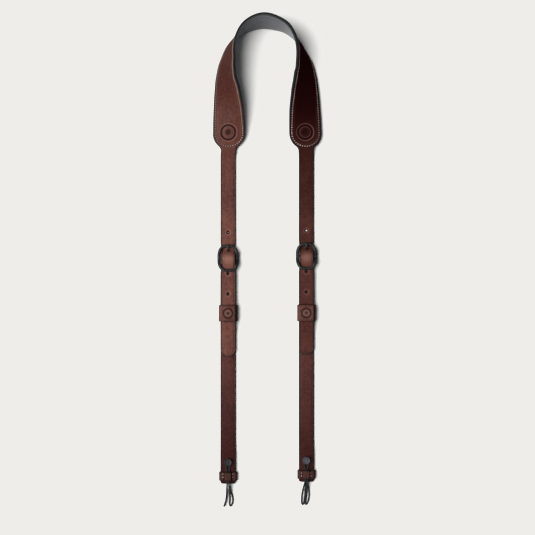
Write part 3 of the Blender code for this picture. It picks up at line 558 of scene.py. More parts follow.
def addMesh(name, points, faces, material, smoothAngle=50.0):
    mesh = bpy.data.meshes.new(name)
    mesh.from_pydata([tuple(p) for p in points], [], faces)
    facing = bmesh.new()
    facing.from_mesh(mesh)
    bmesh.ops.recalc_face_normals(facing, faces=facing.faces)
    facing.to_mesh(mesh)
    facing.free()
    mesh.shade_smooth()
    mesh.set_sharp_from_angle(angle=math.radians(smoothAngle))
    mesh.materials.append(material)
    piece = bpy.data.objects.new(name, mesh)
    bpy.context.scene.collection.objects.link(piece)
    return piece


def skin(name, rows, masks, material, closed=False, smoothAngle=50.0):
    # rows x columns of points: the columns go round a section, the rows along the piece
    rows = np.array(rows, dtype=float)
    count, width = rows.shape[:2]
    faces = []
    for i in range(count if closed else count - 1):
        one = i * width
        two = ((i + 1) % count) * width
        for j in range(width):
            k = (j + 1) % width
            faces.append((one + j, one + k, two + k, two + j))
    if not closed:
        faces.append(tuple(reversed(range(width))))
        faces.append(tuple(range((count - 1) * width, count * width)))
    piece = addMesh(name, rows.reshape(-1, 3) + shift, faces, material, smoothAngle)
    for maskName in maskNames:
        layer = piece.data.attributes.new(maskName, "FLOAT", "POINT")
        values = np.array(masks.get(maskName, np.zeros((count, width))), dtype=np.float32)
        layer.data.foreach_set("value", np.ascontiguousarray(values).reshape(-1))
    return piece


def settle(piece, node):
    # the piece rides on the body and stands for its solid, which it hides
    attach(piece, "root")
    if node:
        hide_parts(node)
    return piece


def ramp(value, start, end):
    share = np.clip((value - start) / (end - start), 0, 1)
    return share * share * (3 - 2 * share)


def bell(distance, width):
    # 1 on a line, fading to nothing at the width on both sides
    return ramp(1 - np.abs(distance) / width, 0.0, 1.0)


def ripple(x, y, seed):
    # slow unevenness of hide, from -1 to 1
    total = 0.0
    for i, scale in enumerate((0.031, 0.017, 0.0093)):
        turn = seed * 1.7 + i * 2.3
        total = total + np.sin(x / scale * 2.1 + turn + 1.3 * np.sin(y / scale * 1.7 + turn)) * (0.5 ** i)
    return total / 1.75


# The long leather: pad face and upper straps in one piece

hide = {
    "edgeRound": 0.0006, "stitchInset": 0.0027, "stitchEnd": 0.0134, "stitchGroove": 0.00022,
    "creaseInset": 0.0017, "creaseDepth": 0.00016, "crown": 0.00030, "uneven": 0.00012,
    "stampRadius": 0.0074, "stampGroove": 0.0016, "stampDepth": 0.0008,
    "stampAt": {"left": (-0.0010, -0.0006), "right": (-0.0016, 0.0003)},
    "paintOver": 0.85, "columns": 45, "padStep": 0.0016, "strapStep": 0.0015, "fineStep": 0.00042, "underColumns": 9,
}


# punched holes: the hide closes up behind the punch; only the right strap's upper hole stays open
punch = {"closed": 0.0003, "open": 0.0008, "snug": 0.0009, "sides": 28}


def stampRelief(x, y, radius, groove):
    # a round stamp: an outer ring, a fine inner ring and a plain eight-petal rosette, 0 to 1 deep
    distance = np.hypot(x, y)
    angle = np.arctan2(y, x)
    ring = np.minimum(1.7 * bell(distance - radius, groove), 1.0)
    inner = 0.3 * bell(distance - 0.72 * radius, 0.5 * groove)
    petal = radius * (0.36 + 0.08 * np.cos(8 * angle))
    rosette = ramp(petal - distance, 0.0, 0.1 * radius) * ramp(distance, 0.03 * radius, 0.15 * radius)
    return np.maximum(np.maximum(ring, inner), rosette)


def edgeSection(half, count, line, lean):
    # places across the outer face: round edges, a close set about the pressed line, then even steps
    edge = min(hide["edgeRound"], 0.35 * half)
    flat = half - edge
    middleOfLine = max(half - line * lean, 0.35 * half)
    spread = min(0.0007 * lean, 0.3 * middleOfLine, 0.9 * max(flat - middleOfLine, 0.0001))
    side = [middleOfLine + spread * share for share in (1.0, 0.5, 0.0, -0.5, -1.0)]
    inner = middleOfLine - 1.5 * spread
    right = list(np.linspace(-inner, inner, count)) + list(reversed(side)) + [flat]
    return np.array([-v for v in reversed(right[count:])] + right)


def roundSide(half, edge, thickness, steps=3):
    # from the outer face over the edge to the inner face, as (across, depth)
    places = []
    lip = min(edge, 0.45 * thickness)
    for i in range(1, steps + 1):
        angle = 0.5 * math.pi * i / steps
        places.append((half - edge + edge * math.sin(angle), -lip + lip * math.cos(angle)))
    for i in range(steps):
        angle = 0.5 * math.pi * i / steps
        places.append((half - edge + edge * math.cos(angle), -thickness + lip - lip * math.sin(angle)))
    return places


def stitchDistance(down, across):
    # how far a point of the pad lies from the sewn line; inside is negative
    inset = halfPad - hide["stitchInset"]
    end = hide["stitchEnd"]
    if down <= 0:
        return np.abs(across) - inset
    return (np.sqrt((across / inset) ** 2 + (down / end) ** 2) - 1) * 0.5 * (inset + end)


def holeDowns(limb):
    numbers = range(-holes["towardsTip"], holes["towardsPad"] + 1)
    return [limb.padToBar - holes["reach"] - number * holes["pitch"] for number in numbers]


def punchSizes(limb, number):
    # radius at the face, radius at the back, and how dented the rim is; the prong's own hole is snug
    if number == holes["towardsTip"]:
        return punch["snug"], punch["snug"], 0.0
    openHole = limb is rightLimb and number > holes["towardsTip"]
    return holes["radius"], punch["open"] if openHole else punch["closed"], 1.0


def hideRelief(limb, down, half, across, lean):
    # height over the flat face, and the dark mask with painted shade and the wear mask with painted highlights there
    tip = limb.padToBar + barToTip
    reach = hide["stitchEnd"] + 0.001
    height = np.zeros_like(across)
    dark = np.zeros_like(across)
    wear = np.zeros_like(across)
    if down < reach + 0.002:
        sewn = stitchDistance(down, across)
        fade = 1.0
        groove = bell(sewn, 0.0010) * fade
        height -= hide["stitchGroove"] * groove
        dark += 0.42 * groove
        height += hide["crown"] * ramp(-sewn, 0.0004, 0.006) * (0.6 + 0.4 * ramp(-sewn, 0.004, 0.015))
        wear += 0.10 * bell(sewn + 0.0022, 0.0016)
    if down > reach:
        edgeGap = (half - np.abs(across)) / lean
        toTip = tip - down
        edgeGap = np.minimum(edgeGap, max(toTip, 0.0) * 0.9 + 0.0002 + 0 * across)
        start = ramp(np.array(down), reach + 0.002, reach + 0.007)
        crease = bell(edgeGap - hide["creaseInset"], 0.0007) * start
        height -= hide["creaseDepth"] * crease
        dark += 0.55 * crease
        dark += 0.30 * ramp(hide["creaseInset"] - edgeGap, 0.0, 0.0012) * start
        height += 0.5 * hide["crown"] * (1 - (across / half) ** 2)
    stampDown, stampAcross = hide["stampAt"][limb.name]
    if abs(down - stampDown) < 1.4 * hide["stampRadius"]:
        x = across - stampAcross
        y = down - stampDown + 0 * across
        relief = stampRelief(x, y, hide["stampRadius"], hide["stampGroove"])
        # the stamp's groove is pressed darker and carries painted shade; painted highlights run along both its rims
        height -= hide["stampDepth"] * relief
        dark += 0.95 * relief
        wear += 0.8 * bell(np.hypot(x, y) - hide["stampRadius"] - 1.05 * hide["stampGroove"], 0.0007)
        wear += 0.5 * bell(np.hypot(x, y) - hide["stampRadius"] + 1.1 * hide["stampGroove"], 0.0008)
    for number, hole in enumerate(holeDowns(limb)):
        if abs(down - hole) < 0.004:
            radius, floor, dented = punchSizes(limb, number)
            distance = np.hypot(across, down - hole)
            # painted shade in the dented rim round each hole and a painted highlight just outside it
            height -= dented * 0.00028 * ramp(radius + 0.0011 - distance, 0.0, 0.0011)
            dark += dented * 0.75 * ramp(radius + 0.0006 - distance, 0.0, 0.0006)
            wear += dented * 0.5 * bell(distance - radius - 0.0012, 0.0007)
    aboveBar = limb.padToBar - down
    # rubbed pale with a painted highlight where the tail bulges over the bar
    wear += 0.75 * math.exp(-((aboveBar + 0.0018) / 0.0058) ** 2) * (1 - 0.8 * (across / half) ** 2)
    # painted contact shade next to the buckle's wires and the keeper's rims
    keeperRim = abs(aboveBar + limb.barToKeeper) - fittings["keeperLength"] / 2
    soilAndShade = 0.6 * bell(np.array(aboveBar - endMid), 0.0036) + 0.35 * bell(np.array(aboveBar + endMid), 0.0026)
    dark += soilAndShade + 0.6 * bell(np.array(keeperRim), 0.0012)
    # a painted highlight along the tip's edge
    if tip - down < strap["tipLength"]:
        wear += 0.6 * bell((half - np.abs(across)) / lean - 0.0007, 0.0006)
    return height, np.clip(dark, 0, 1), np.clip(wear, 0, 1)


def hideSection(limb, down, frameAt, half, lean, thickness, seed):
    # one row of the long leather and its masks
    centre, across, normal = frameAt
    stitched = down < hide["stitchEnd"] + 0.003
    line = hide["stitchInset"] if stitched else hide["creaseInset"]
    places = edgeSection(half, hide["columns"], line, lean)
    height, dark, wear = hideRelief(limb, down, half, places, lean)
    height = height + hide["uneven"] * ripple(places, down + seed + 0 * places, limb.side) * ramp(half - np.abs(places), 0.0, 0.002)
    row = [centre + across * v + normal * h for v, h in zip(places, height)]
    paint = list(hide["paintOver"] * ramp(0.0011 - (half - np.abs(places)) / lean, 0.0, 0.0005))
    edge = min(hide["edgeRound"], 0.35 * half)
    side = roundSide(half, edge, thickness)
    row += [centre + across * v + normal * n for v, n in side]
    under = np.linspace(half - edge, -(half - edge), hide["underColumns"])
    row += [centre + across * v - normal * thickness for v in under]
    row += [centre - across * v + normal * n for v, n in reversed(side)]
    sidePaint = [1.0] * len(side)
    paint += sidePaint + [0.0] * len(under) + list(reversed(sidePaint))
    rest = len(row) - len(places)
    zeros = np.zeros(rest)
    return row, paint, np.concatenate((dark, zeros)), np.concatenate((wear, zeros))


def steps(start, end, step):
    count = max(int(math.ceil(abs(end - start) / step)), 1)
    return list(np.linspace(start, end, count + 1))


def upperDowns(limb):
    # distances down the upper strap, closer together at the stamp, the round end, the holes and the tip
    tip = limb.padToBar + barToTip
    fine = hide["fineStep"]
    places = steps(0.0003, 0.019, fine)
    places += steps(0.019, tip - strap["tipLength"], hide["strapStep"])
    for hole in holeDowns(limb):
        places += steps(hole - 0.0033, hole + 0.0033, fine)
    places += steps(limb.padToBar - bulgeReach, limb.padToBar + bulgeReach, 0.0009)
    places += [tip - strap["tipLength"] * math.cos(0.5 * math.pi * i / 14) for i in range(15)]
    places = sorted(places)
    kept = [places[0]]
    for down in places[1:]:
        if down - kept[-1] > 0.00025:
            kept.append(down)
    kept[-1] = tip
    return kept


def archPlaces():
    # places along the arch, closer together where the stamps are
    reach = 1.3 * hide["stampRadius"] + 0.0016
    places = steps(0.0, reach, hide["fineStep"])
    places += steps(reach, archPath.length - reach, hide["padStep"])[1:]
    places += steps(archPath.length - reach, archPath.length, hide["fineStep"])[1:]
    return places


def halfLean(limb, down):
    # how much longer the way to the edge is, measured straight across
    step = 0.0004
    slope = (upperHalf(limb, down + step) - upperHalf(limb, down - step)) / (2 * step)
    return min(math.sqrt(1 + slope ** 2), 2.2)


def makeLongLeather():
    rows, paint, dark, wear = [], [], [], []
    padThick = thick + 0.45 * gap

    def add(section):
        for store, values in zip((rows, paint, dark, wear), section):
            store.append(values)

    for down in reversed(upperDowns(leftLimb)):
        thickness = thick + (padThick - thick) * (1 - smooth((down - 0.010) / 0.006))
        add(hideSection(leftLimb, down, leftLimb.upperFrame(down), upperHalf(leftLimb, down),
                        halfLean(leftLimb, down), thickness, 0.0))
    for at in archPlaces():
        limb, down = (leftLimb, -at) if at < archPath.length / 2 else (rightLimb, at - archPath.length)
        add(hideSection(limb, down, padFrame(at), halfPad, 1.0, padThick, 0.0))
    for down in upperDowns(rightLimb):
        thickness = thick + (padThick - thick) * (1 - smooth((down - 0.010) / 0.006))
        add(hideSection(rightLimb, down, rightLimb.upperFrame(down), upperHalf(rightLimb, down),
                        halfLean(rightLimb, down), thickness, 0.0))
    piece = skin("long_leather", rows, {"paint": paint, "dark": dark, "wear": wear}, finishes["padLeather"])
    piece.data.materials.append(finishes["core"])
    cutPoints, cutFaces = [], []
    for limb in limbs:
        for number, down in enumerate(holeDowns(limb)):
            centre, across, normal = limb.upperFrame(down)
            along = np.cross(normal, across)
            base = len(cutPoints)
            sides = punch["sides"]
            radius, floor, dented = punchSizes(limb, number)
            for depth, reach in ((0.6, radius), (0.0, radius), (-1.0, floor), (-1.6, floor)):
                for i in range(sides):
                    angle = 2 * math.pi * i / sides
                    outward = across * math.cos(angle) + along * math.sin(angle)
                    cutPoints.append(centre + shift + normal * thick * depth + outward * reach)
            for ring in (base, base + sides, base + 2 * sides):
                for i in range(sides):
                    j = (i + 1) % sides
                    cutFaces.append((ring + i, ring + j, ring + sides + j, ring + sides + i))
            cutFaces.append(tuple(base + i for i in reversed(range(sides))))
            cutFaces.append(tuple(base + 3 * sides + i for i in range(sides)))
    cutter = addMesh("hole_punch", cutPoints, cutFaces, finishes["core"])
    punching = piece.modifiers.new("Holes", "BOOLEAN")
    punching.operation = "DIFFERENCE"
    punching.solver = "EXACT"
    punching.material_mode = "TRANSFER"
    punching.object = cutter
    applyModifiers(piece)
    bpy.data.objects.remove(cutter, do_unlink=True)
    return settle(piece, "strap_leather")


def applyModifiers(piece):
    bpy.context.view_layer.update()
    depsgraph = bpy.context.evaluated_depsgraph_get()
    mesh = bpy.data.meshes.new_from_object(piece.evaluated_get(depsgraph), preserve_all_data_layers=True, depsgraph=depsgraph)
    piece.modifiers.clear()
    piece.data = mesh


longLeather = makeLongLeather()
print("long leather", len(longLeather.data.polygons), "faces")


# The soft grey lining under the pad

def makeLining():
    nap = {"step": 0.0022, "columns": 21, "puff": 0.00030, "seam": 0.00035, "endSteps": 22}
    rows, paint, wear, dark = [], [], [], []
    top = thick + 0.55 * gap
    bottom = stack
    edge = 0.0004

    def add(centre, across, normal, half, down):
        places = np.linspace(half - edge, -(half - edge), nap["columns"])
        sewn = stitchDistance(down, places)
        puff = nap["puff"] * ramp(-sewn, 0.0, 0.006) - nap["seam"] * bell(sewn, 0.0011)
        side = [(half - edge * 0.3, -top), (half, -top - edge * 0.3), (half, -bottom + edge), (half - edge * 0.3, -bottom + edge * 0.3)]
        row = [centre + across * v - normal * top for v in (-(half - edge), 0.0, half - edge)]
        row += [centre + across * v + normal * n for v, n in side]
        row += [centre + across * v - normal * (bottom + p) for v, p in zip(places, puff)]
        row += [centre - across * v + normal * n for v, n in reversed(side)]
        rows.append(row)
        fromSide = [1.0, 1.0, 1.0, 0.7]
        # a painted highlight along the lining's inner rim
        rim = [0.0, 0.0, 0.1, 0.4]
        none = [0.0] * nap["columns"]
        paint.append([0.0] * 3 + fromSide + none + list(reversed(fromSide)))
        wear.append([0.0] * 3 + rim + none + list(reversed(rim)))
        dark.append([0.0] * 7 + list(0.5 * bell(sewn, 0.0011)) + [0.0] * 4)

    def addEnd(limb, downs):
        for down in downs:
            share = 1 - (down / strap["liningEnd"]) ** 2
            half = (halfPad - strap["liningInset"]) * max(math.sqrt(max(share, 0.0)), 0.09)
            add(*limb.upperFrame(down), half, down)

    endDowns = [(strap["liningEnd"] - 0.0001) * math.sin(0.5 * math.pi * i / nap["endSteps"]) for i in range(1, nap["endSteps"] + 1)]
    addEnd(leftLimb, reversed(endDowns))
    for at in steps(0.0, archPath.length, nap["step"]):
        add(*padFrame(at), halfPad - strap["liningInset"], -at if at < archPath.length / 2 else at - archPath.length)
    addEnd(rightLimb, endDowns)
    piece = skin("soft_lining", rows, {"paint": paint, "wear": wear, "dark": dark}, finishes["suede"])
    return settle(piece, "pad_lining")


softLining = makeLining()
print("lining made")


# Saddle stitches

seam = {"pitch": 0.00257, "length": 0.00118, "thread": 0.00100, "slant": 0.16, "awl": 0.00090, "sunk": 0.00001}


def sewnLine(onLining):
    # points, headings and normals all round the pad, on its face or on its lining
    inset = halfPad - hide["stitchInset"]
    end = hide["stitchEnd"]
    stops = []
    arc = 60
    for i in range(arc):
        angle = math.pi * (i / arc - 0.5)
        stops.append((leftLimb, end * math.cos(angle), inset * math.sin(angle)))
    along = steps(0.0, archPath.length, 0.0008)
    for at in along:
        stops.append((None, at, inset))
    for i in range(arc):
        angle = math.pi * (0.5 - i / arc)
        stops.append((rightLimb, end * math.cos(angle), inset * math.sin(angle)))
    for at in reversed(along):
        stops.append((None, at, -inset))
    points, normals = [], []
    for limb, at, across in stops:
        centre, sideways, normal = padFrame(at) if limb is None else limb.upperFrame(max(at, 0.0003))
        depth = -(stack + 0.00002) if onLining else 0.0
        sink = -hide["stitchGroove"] if not onLining else 0.0003
        points.append(centre + sideways * across + normal * (depth + sink))
        normals.append(-normal if onLining else normal)
    return np.array(points), np.array(normals)


def threadShape(length, width):
    # one stitch along X, rounded at both ends, as points and faces
    rings, sides = 7, 7
    points = []
    for i in range(rings):
        angle = math.pi * i / (rings - 1)
        girth = max(math.sin(angle), 0.04) ** 0.55
        x = -math.cos(angle) * length / 2
        for j in range(sides):
            turn = 2 * math.pi * j / sides
            points.append((x, girth * width / 2 * math.cos(turn), girth * width * 0.42 * math.sin(turn) + 0.16 * width * math.sin(angle)))
    faces = []
    for i in range(rings - 1):
        for j in range(sides):
            k = (j + 1) % sides
            faces.append((i * sides + j, i * sides + k, (i + 1) * sides + k, (i + 1) * sides + j))
    faces.append(tuple(reversed(range(sides))))
    faces.append(tuple((rings - 1) * sides + j for j in range(sides)))
    return np.array(points), faces


def awlShape(radius):
    # a low dark patch of painted shade that reads as the pricked hole at a stitch's end, bent to the seam's groove
    sides = 8
    points = [(radius * math.cos(2 * math.pi * j / sides), radius * math.sin(2 * math.pi * j / sides), 0.0) for j in range(sides)]
    points += [(0.8 * x, 0.8 * y, 0.00008) for x, y, z in points] + [(x, y, -0.0003) for x, y, z in points]
    faces = []
    for lowRing, highRing in ((0, 1), (2, 0)):
        for j in range(sides):
            k = (j + 1) % sides
            faces.append((lowRing * sides + j, lowRing * sides + k, highRing * sides + k, highRing * sides + j))
    faces.append(tuple(sides + j for j in range(sides)))
    faces.append(tuple(2 * sides + j for j in reversed(range(sides))))
    points = np.array(points)
    points[:, 2] += hide["stitchGroove"] * (1 - bell(points[:, 1], 0.0010))
    return points, faces


def sew(name, stitches, finish, awls=True):
    # stitches: (middle, heading, normal) each; one mesh with thread and pricked holes
    rng = random.Random(7)
    allPoints, allFaces, kinds = [], [], []
    for middle, heading, normal in stitches:
        sideways = unit(np.cross(normal, heading))
        lean = seam["slant"] + rng.uniform(-0.07, 0.07)
        forward = unit(heading + sideways * lean)
        sideways = np.cross(normal, forward)
        axes = np.array((forward, sideways, normal))
        length = seam["length"] * rng.uniform(0.92, 1.06)
        shapes = [(threadShape(length, seam["thread"] * rng.uniform(0.92, 1.08)), middle - normal * seam["sunk"], 0)]
        if awls:
            for end in (-0.5, 0.5):
                where = middle + forward * (length + 0.0004) * end
                shapes.append((awlShape(seam["awl"] * rng.uniform(0.85, 1.1)), where - normal * 0.00002, 1))
        for (points, faces), where, kind in shapes:
            base = len(allPoints)
            allPoints += [where + shift + point @ axes for point in points]
            allFaces += [tuple(base + i for i in face) for face in faces]
            kinds += [kind] * len(faces)
    piece = addMesh(name, allPoints, allFaces, finish, 60.0)
    piece.data.materials.append(finishes["core"])
    piece.data.polygons.foreach_set("material_index", kinds)
    return settle(piece, None)


def alongLine(points, normals, pitch, offset=0.0):
    # evenly spaced places on a closed line
    closed = np.vstack((points, points[:1]))
    lengths = np.linalg.norm(np.diff(closed, axis=0), axis=1)
    travelled = np.concatenate(([0.0], np.cumsum(lengths)))
    count = int(round(travelled[-1] / pitch))
    found = []
    for n in range(count):
        at = (n + offset) * travelled[-1] / count
        i = min(int(np.searchsorted(travelled, at, side="right")) - 1, len(points) - 1)
        share = (at - travelled[i]) / max(lengths[i], 1e-9)
        middle = closed[i] + (closed[i + 1] - closed[i]) * share
        found.append((middle, unit(closed[i + 1] - closed[i]), normals[i]))
    return found


sew("pad_stitches", alongLine(*sewnLine(False), seam["pitch"]), finishes["thread"])
sew("lining_stitches", alongLine(*sewnLine(True), seam["pitch"], 0.5), finishes["palerThread"], awls=False)
print("pad sewn")


# Buckles and prongs

def frameHeight(aboveBar):
    target = topBarHeight if aboveBar > 0 else lowBarHeight
    return barHeight + (target - barHeight) * smooth(abs(aboveBar) / bulgeReach)


def tube(name, centres, sideways, lifts, widths, heights, material, closed, sides=14, square=2.3):
    # a rounded bar along centres; the section is a soft oval
    rows = []
    for centre, side, lift, width, height in zip(centres, sideways, lifts, widths, heights):
        row = []
        for j in range(sides):
            turn = 2 * math.pi * (j + 0.5) / sides
            x = math.copysign(abs(math.cos(turn)) ** (2 / square), math.cos(turn))
            z = math.copysign(abs(math.sin(turn)) ** (2 / square), math.sin(turn))
            row.append(centre + side * x * width / 2 + lift * z * height / 2)
        rows.append(row)
    return skin(name, rows, {}, material, closed=closed)


def makeBuckle(limb):
    ring = {"steps": 132, "barSides": 18, "widthShare": 1.04, "heightShare": 1.06, "fuller": 0.0004}
    centres, outs, widths = [], [], []
    power = 2 / buckle["squareness"]
    for i in range(ring["steps"]):
        angle = 2 * math.pi * (i + 0.5) / ring["steps"]
        cosine, sine = math.cos(angle), math.sin(angle)
        x = (sideMid - ring["fuller"] / 2) * math.copysign(abs(cosine) ** power, cosine)
        y = endMid * math.copysign(abs(sine) ** power, sine)
        slopeX = math.copysign(abs(x / sideMid) ** (buckle["squareness"] - 1) / sideMid, x)
        slopeY = math.copysign(abs(y / endMid) ** (buckle["squareness"] - 1) / endMid, y)
        out = unit(np.array((slopeX, slopeY, 0.0)))
        centres.append(np.array((limb.x + x, limb.barY + y, frameHeight(y))))
        outs.append(out)
        sideWire = buckle["sideWire"] + ring["fuller"]
        widths.append(ring["widthShare"] * (sideWire * out[0] ** 2 + buckle["endWire"] * out[1] ** 2))
    up = [np.array((0.0, 0.0, 1.0))] * len(centres)
    heights = [buckle["wireHeight"] * ring["heightShare"]] * len(centres)
    piece = tube(f"frame_{limb.name}", centres, outs, up, widths, heights, finishes["frame"], True, 18)
    reach = sideMid
    places = np.linspace(-reach, reach, 9)
    barCentres = [np.array((limb.x + x, limb.barY, barHeight)) for x in places]
    forward = [np.array((0.0, 1.0, 0.0))] * len(places)
    across = [2 * buckle["barRadius"]] * len(places)
    bar = tube(f"bar_{limb.name}", barCentres, forward, up[:len(places)], across, across, finishes["frame"], False, ring["barSides"], 2.0)
    settle(bar, None)
    return settle(piece, f"buckle_{limb.name}")


def makeProng(limb):
    count = 70
    wrap = foldInner + buckle["prongHeight"] / 2
    route = []
    for degrees in (150, 195, 240, 285):
        angle = math.radians(degrees)
        route.append((wrap * math.cos(angle), barHeight + wrap * math.sin(angle)))
    face, across, normal = limb.upperFrame(limb.padToBar - holes["reach"])
    for depth in (1.4, 0.5, -0.4):
        point = face - normal * thick * depth
        route.append((point[1] - limb.barY, point[2]))
    rest = topBarHeight + buckle["wireHeight"] / 2 + gap + buckle["prongHeight"] / 2
    route.append((0.6 * holes["reach"] + 0.5 * endMid, rest - 0.1 * buckle["prongHeight"]))
    route.append((endMid, rest))
    route.append((endMid + 0.55 * buckle["endWire"], rest - 0.1 * buckle["prongHeight"]))
    line = Curve(route)
    centres, lifts, widths, heights = [], [], [], []
    for i in range(count + 1):
        at = line.length * i / count
        u, z = line.at(at)
        forward, climb = unit(line.direction(at))
        centres.append(np.array((limb.x, limb.barY + u, z)))
        lifts.append(np.array((0.0, -climb, forward)))
        toTip = line.length - at
        taper = min(math.sqrt(max(1 - (1 - min(toTip / 0.0012, 1.0)) ** 2, 0.02)), 1.0)
        widths.append(buckle["prongWidth"] * 1.02 * taper)
        heights.append(buckle["prongHeight"] * 1.02 * taper)
    sideways = [np.array((1.0, 0.0, 0.0))] * len(centres)
    piece = tube(f"tongue_{limb.name}", centres, sideways, lifts, widths, heights, finishes["frame"], False, 14, 2.2)
    return settle(piece, f"prong_{limb.name}")


for limb in limbs:
    makeBuckle(limb)
    makeProng(limb)
print("buckles made")


# Lower straps, folded round the bar

def lowerSections(limb):
    # place, height, half width, thickness, from the free end to the bar, over it and back
    found = []
    corner = lower["corner"]
    for i in range(9):
        share = 1 - math.cos(0.5 * math.pi * i / 8)
        half = halfStrap - corner * (1 - math.sqrt(max(1 - (1 - share) ** 2, 0.0)))
        found.append((-barToEnd + corner * share, half, thick))
    for u in steps(-barToEnd + corner, -bulgeReach, 0.0013)[1:]:
        found.append((u, halfStrap - pinch(u), thick))
    for u in steps(-bulgeReach, 0.0, 0.0007)[1:-1]:
        found.append((u, halfStrap - pinch(u), thick))
    sections = [(u, limb.lowerHeight(u), half, thickness) for u, half, thickness in found]
    for i in range(19):
        angle = math.pi * (0.5 - i / 18)
        thickness = thick + (lower["flap"] - thick) * i / 18
        u = foldInner * math.cos(angle)
        sections.append((u, barHeight + foldInner * math.sin(angle), halfStrap - pinch(u), thickness))
    drop = barHeight - foldInner - lower["flap"]
    for i in range(1, 13):
        u = -bulgeReach * i / 12
        sections.append((u, lower["flap"] + drop * (1 - smooth(i / 12)), halfStrap - pinch(u), lower["flap"]))
    for u in steps(-bulgeReach, -lower["flapLength"], 0.002)[1:]:
        sections.append((u, lower["flap"], halfStrap - pinch(u), lower["flap"]))
    return sections


def makeLowerStrap(limb):
    sections = lowerSections(limb)
    rows, paint, dark, wear = [], [], [], []
    count = 25
    for i, (u, z, half, thickness) in enumerate(sections):
        ahead = sections[min(i + 1, len(sections) - 1)]
        behind = sections[max(i - 1, 0)]
        along = unit(np.array((0.0, ahead[0] - behind[0], ahead[1] - behind[1])))
        normal = np.array((0.0, -along[2], along[1]))
        inner = np.array((limb.x, limb.barY + u, z))
        outer = inner + normal * thickness
        across = np.array((1.0, 0.0, 0.0))
        places = edgeSection(half, count, hide["creaseInset"], 1.0)
        edgeGap = half - np.abs(places)
        edgeGap = np.minimum(edgeGap, max(u + barToEnd, 0.0) + 0.0002) if i < len(sections) / 2 else edgeGap
        crease = bell(edgeGap - hide["creaseInset"], 0.0007)
        upper = min(thickness / thick, 1.0)
        height = (0.5 * hide["crown"] * (1 - (places / half) ** 2) - hide["creaseDepth"] * crease) * upper
        height = height + hide["uneven"] * ripple(places, u + 0 * places, 3 + limb.side) * ramp(edgeGap, 0.0, 0.002)
        near = ramp(hide["creaseInset"] - edgeGap, 0.0, 0.0012)
        # painted shadow on the lower strap round the tail's tip
        past = np.hypot(places / halfStrap, min(u + barToTip - strap["tipLength"], 0.0) / strap["tipLength"]) - 1
        tipShadow = bell(np.maximum(past, 0.0) * halfStrap, 0.0019) * (0.75 + 0.25 * places / halfStrap)
        row = [outer + across * v + normal * h for v, h in zip(places, height)]
        edge = min(hide["edgeRound"], 0.35 * half)
        side = roundSide(half, edge, thickness)
        under = np.linspace(half - edge, -(half - edge), hide["underColumns"])
        row += [outer + across * v + normal * n for v, n in side]
        row += [outer + across * v - normal * thickness for v in under]
        row += [outer - across * v + normal * n for v, n in reversed(side)]
        sidePaint = [1.0] * len(side)
        rest = np.zeros(len(side) * 2 + len(under))
        onFace = list(hide["paintOver"] * ramp(0.0011 - edgeGap, 0.0, 0.0005))
        paint.append(onFace + sidePaint + [0.0] * len(under) + sidePaint)
        dark.append(np.concatenate((np.clip(0.6 * crease + 0.35 * near + 0.9 * tipShadow, 0, 1), rest)))
        bend = 0.4 * math.exp(-(u / 0.004) ** 2)
        wear.append(np.concatenate((bend + 0 * places, rest)))
        rows.append(row)
    piece = skin(f"lower_leather_{limb.name}", rows, {"paint": paint, "dark": dark, "wear": wear}, finishes["lowerLeather"])
    return settle(piece, f"lower_strap_{limb.name}")


for limb in limbs:
    makeLowerStrap(limb)
print("lower straps made")


# Keepers: a loop of leather with a round stamp on top

loopKeeper = {
    "topColumns": 41, "cornerSteps": 6, "rows": 44, "edgeRound": 0.0005, "crown": 0.00035,
    "stampRadius": 0.0048, "stampGroove": 0.0013, "stampDepth": 0.00040, "creaseInset": 0.0016, "creaseDepth": 0.00018,
    "stampAt": {"left": (0.0003, 0.0), "right": (0.0001, 0.0)},
}


def boxLoop(half, low, high, corner, topColumns, cornerSteps):
    # a rounded box loop from the right end of the top, leftwards over the top and round
    loop = [(x, high) for x in np.linspace(half - corner, -(half - corner), topColumns)]
    for centreX, centreZ, start in ((-half + corner, high - corner, 90), (-half + corner, low + corner, 180),
                                    (half - corner, low + corner, 270), (half - corner, high - corner, 0)):
        for i in range(1, cornerSteps + 1):
            angle = math.radians(start + 90 * i / cornerSteps)
            if start == 0 and i == cornerSteps:
                continue
            loop.append((centreX + corner * math.cos(angle), centreZ + corner * math.sin(angle)))
    return loop


def rimProfile(wall, low, high, edge, rows):
    # depth in the wall and place along it: inside, over the low rim, along the outside, over the high rim
    profile = [(0.0, low + edge), (edge * 0.3, low + edge * 0.3), (edge, low)]
    for i in range(4):
        angle = 0.5 * math.pi * i / 3
        profile.append((wall - edge + edge * math.sin(angle), low + edge - edge * math.cos(angle)))
    profile += [(wall, y) for y in np.linspace(low + edge, high - edge, rows)[1:-1]]
    for i in range(4):
        angle = 0.5 * math.pi * i / 3
        profile.append((wall - edge + edge * math.cos(angle), high - edge + edge * math.sin(angle)))
    return profile + [(edge, high), (edge * 0.3, high - edge * 0.3), (0.0, high - edge)]


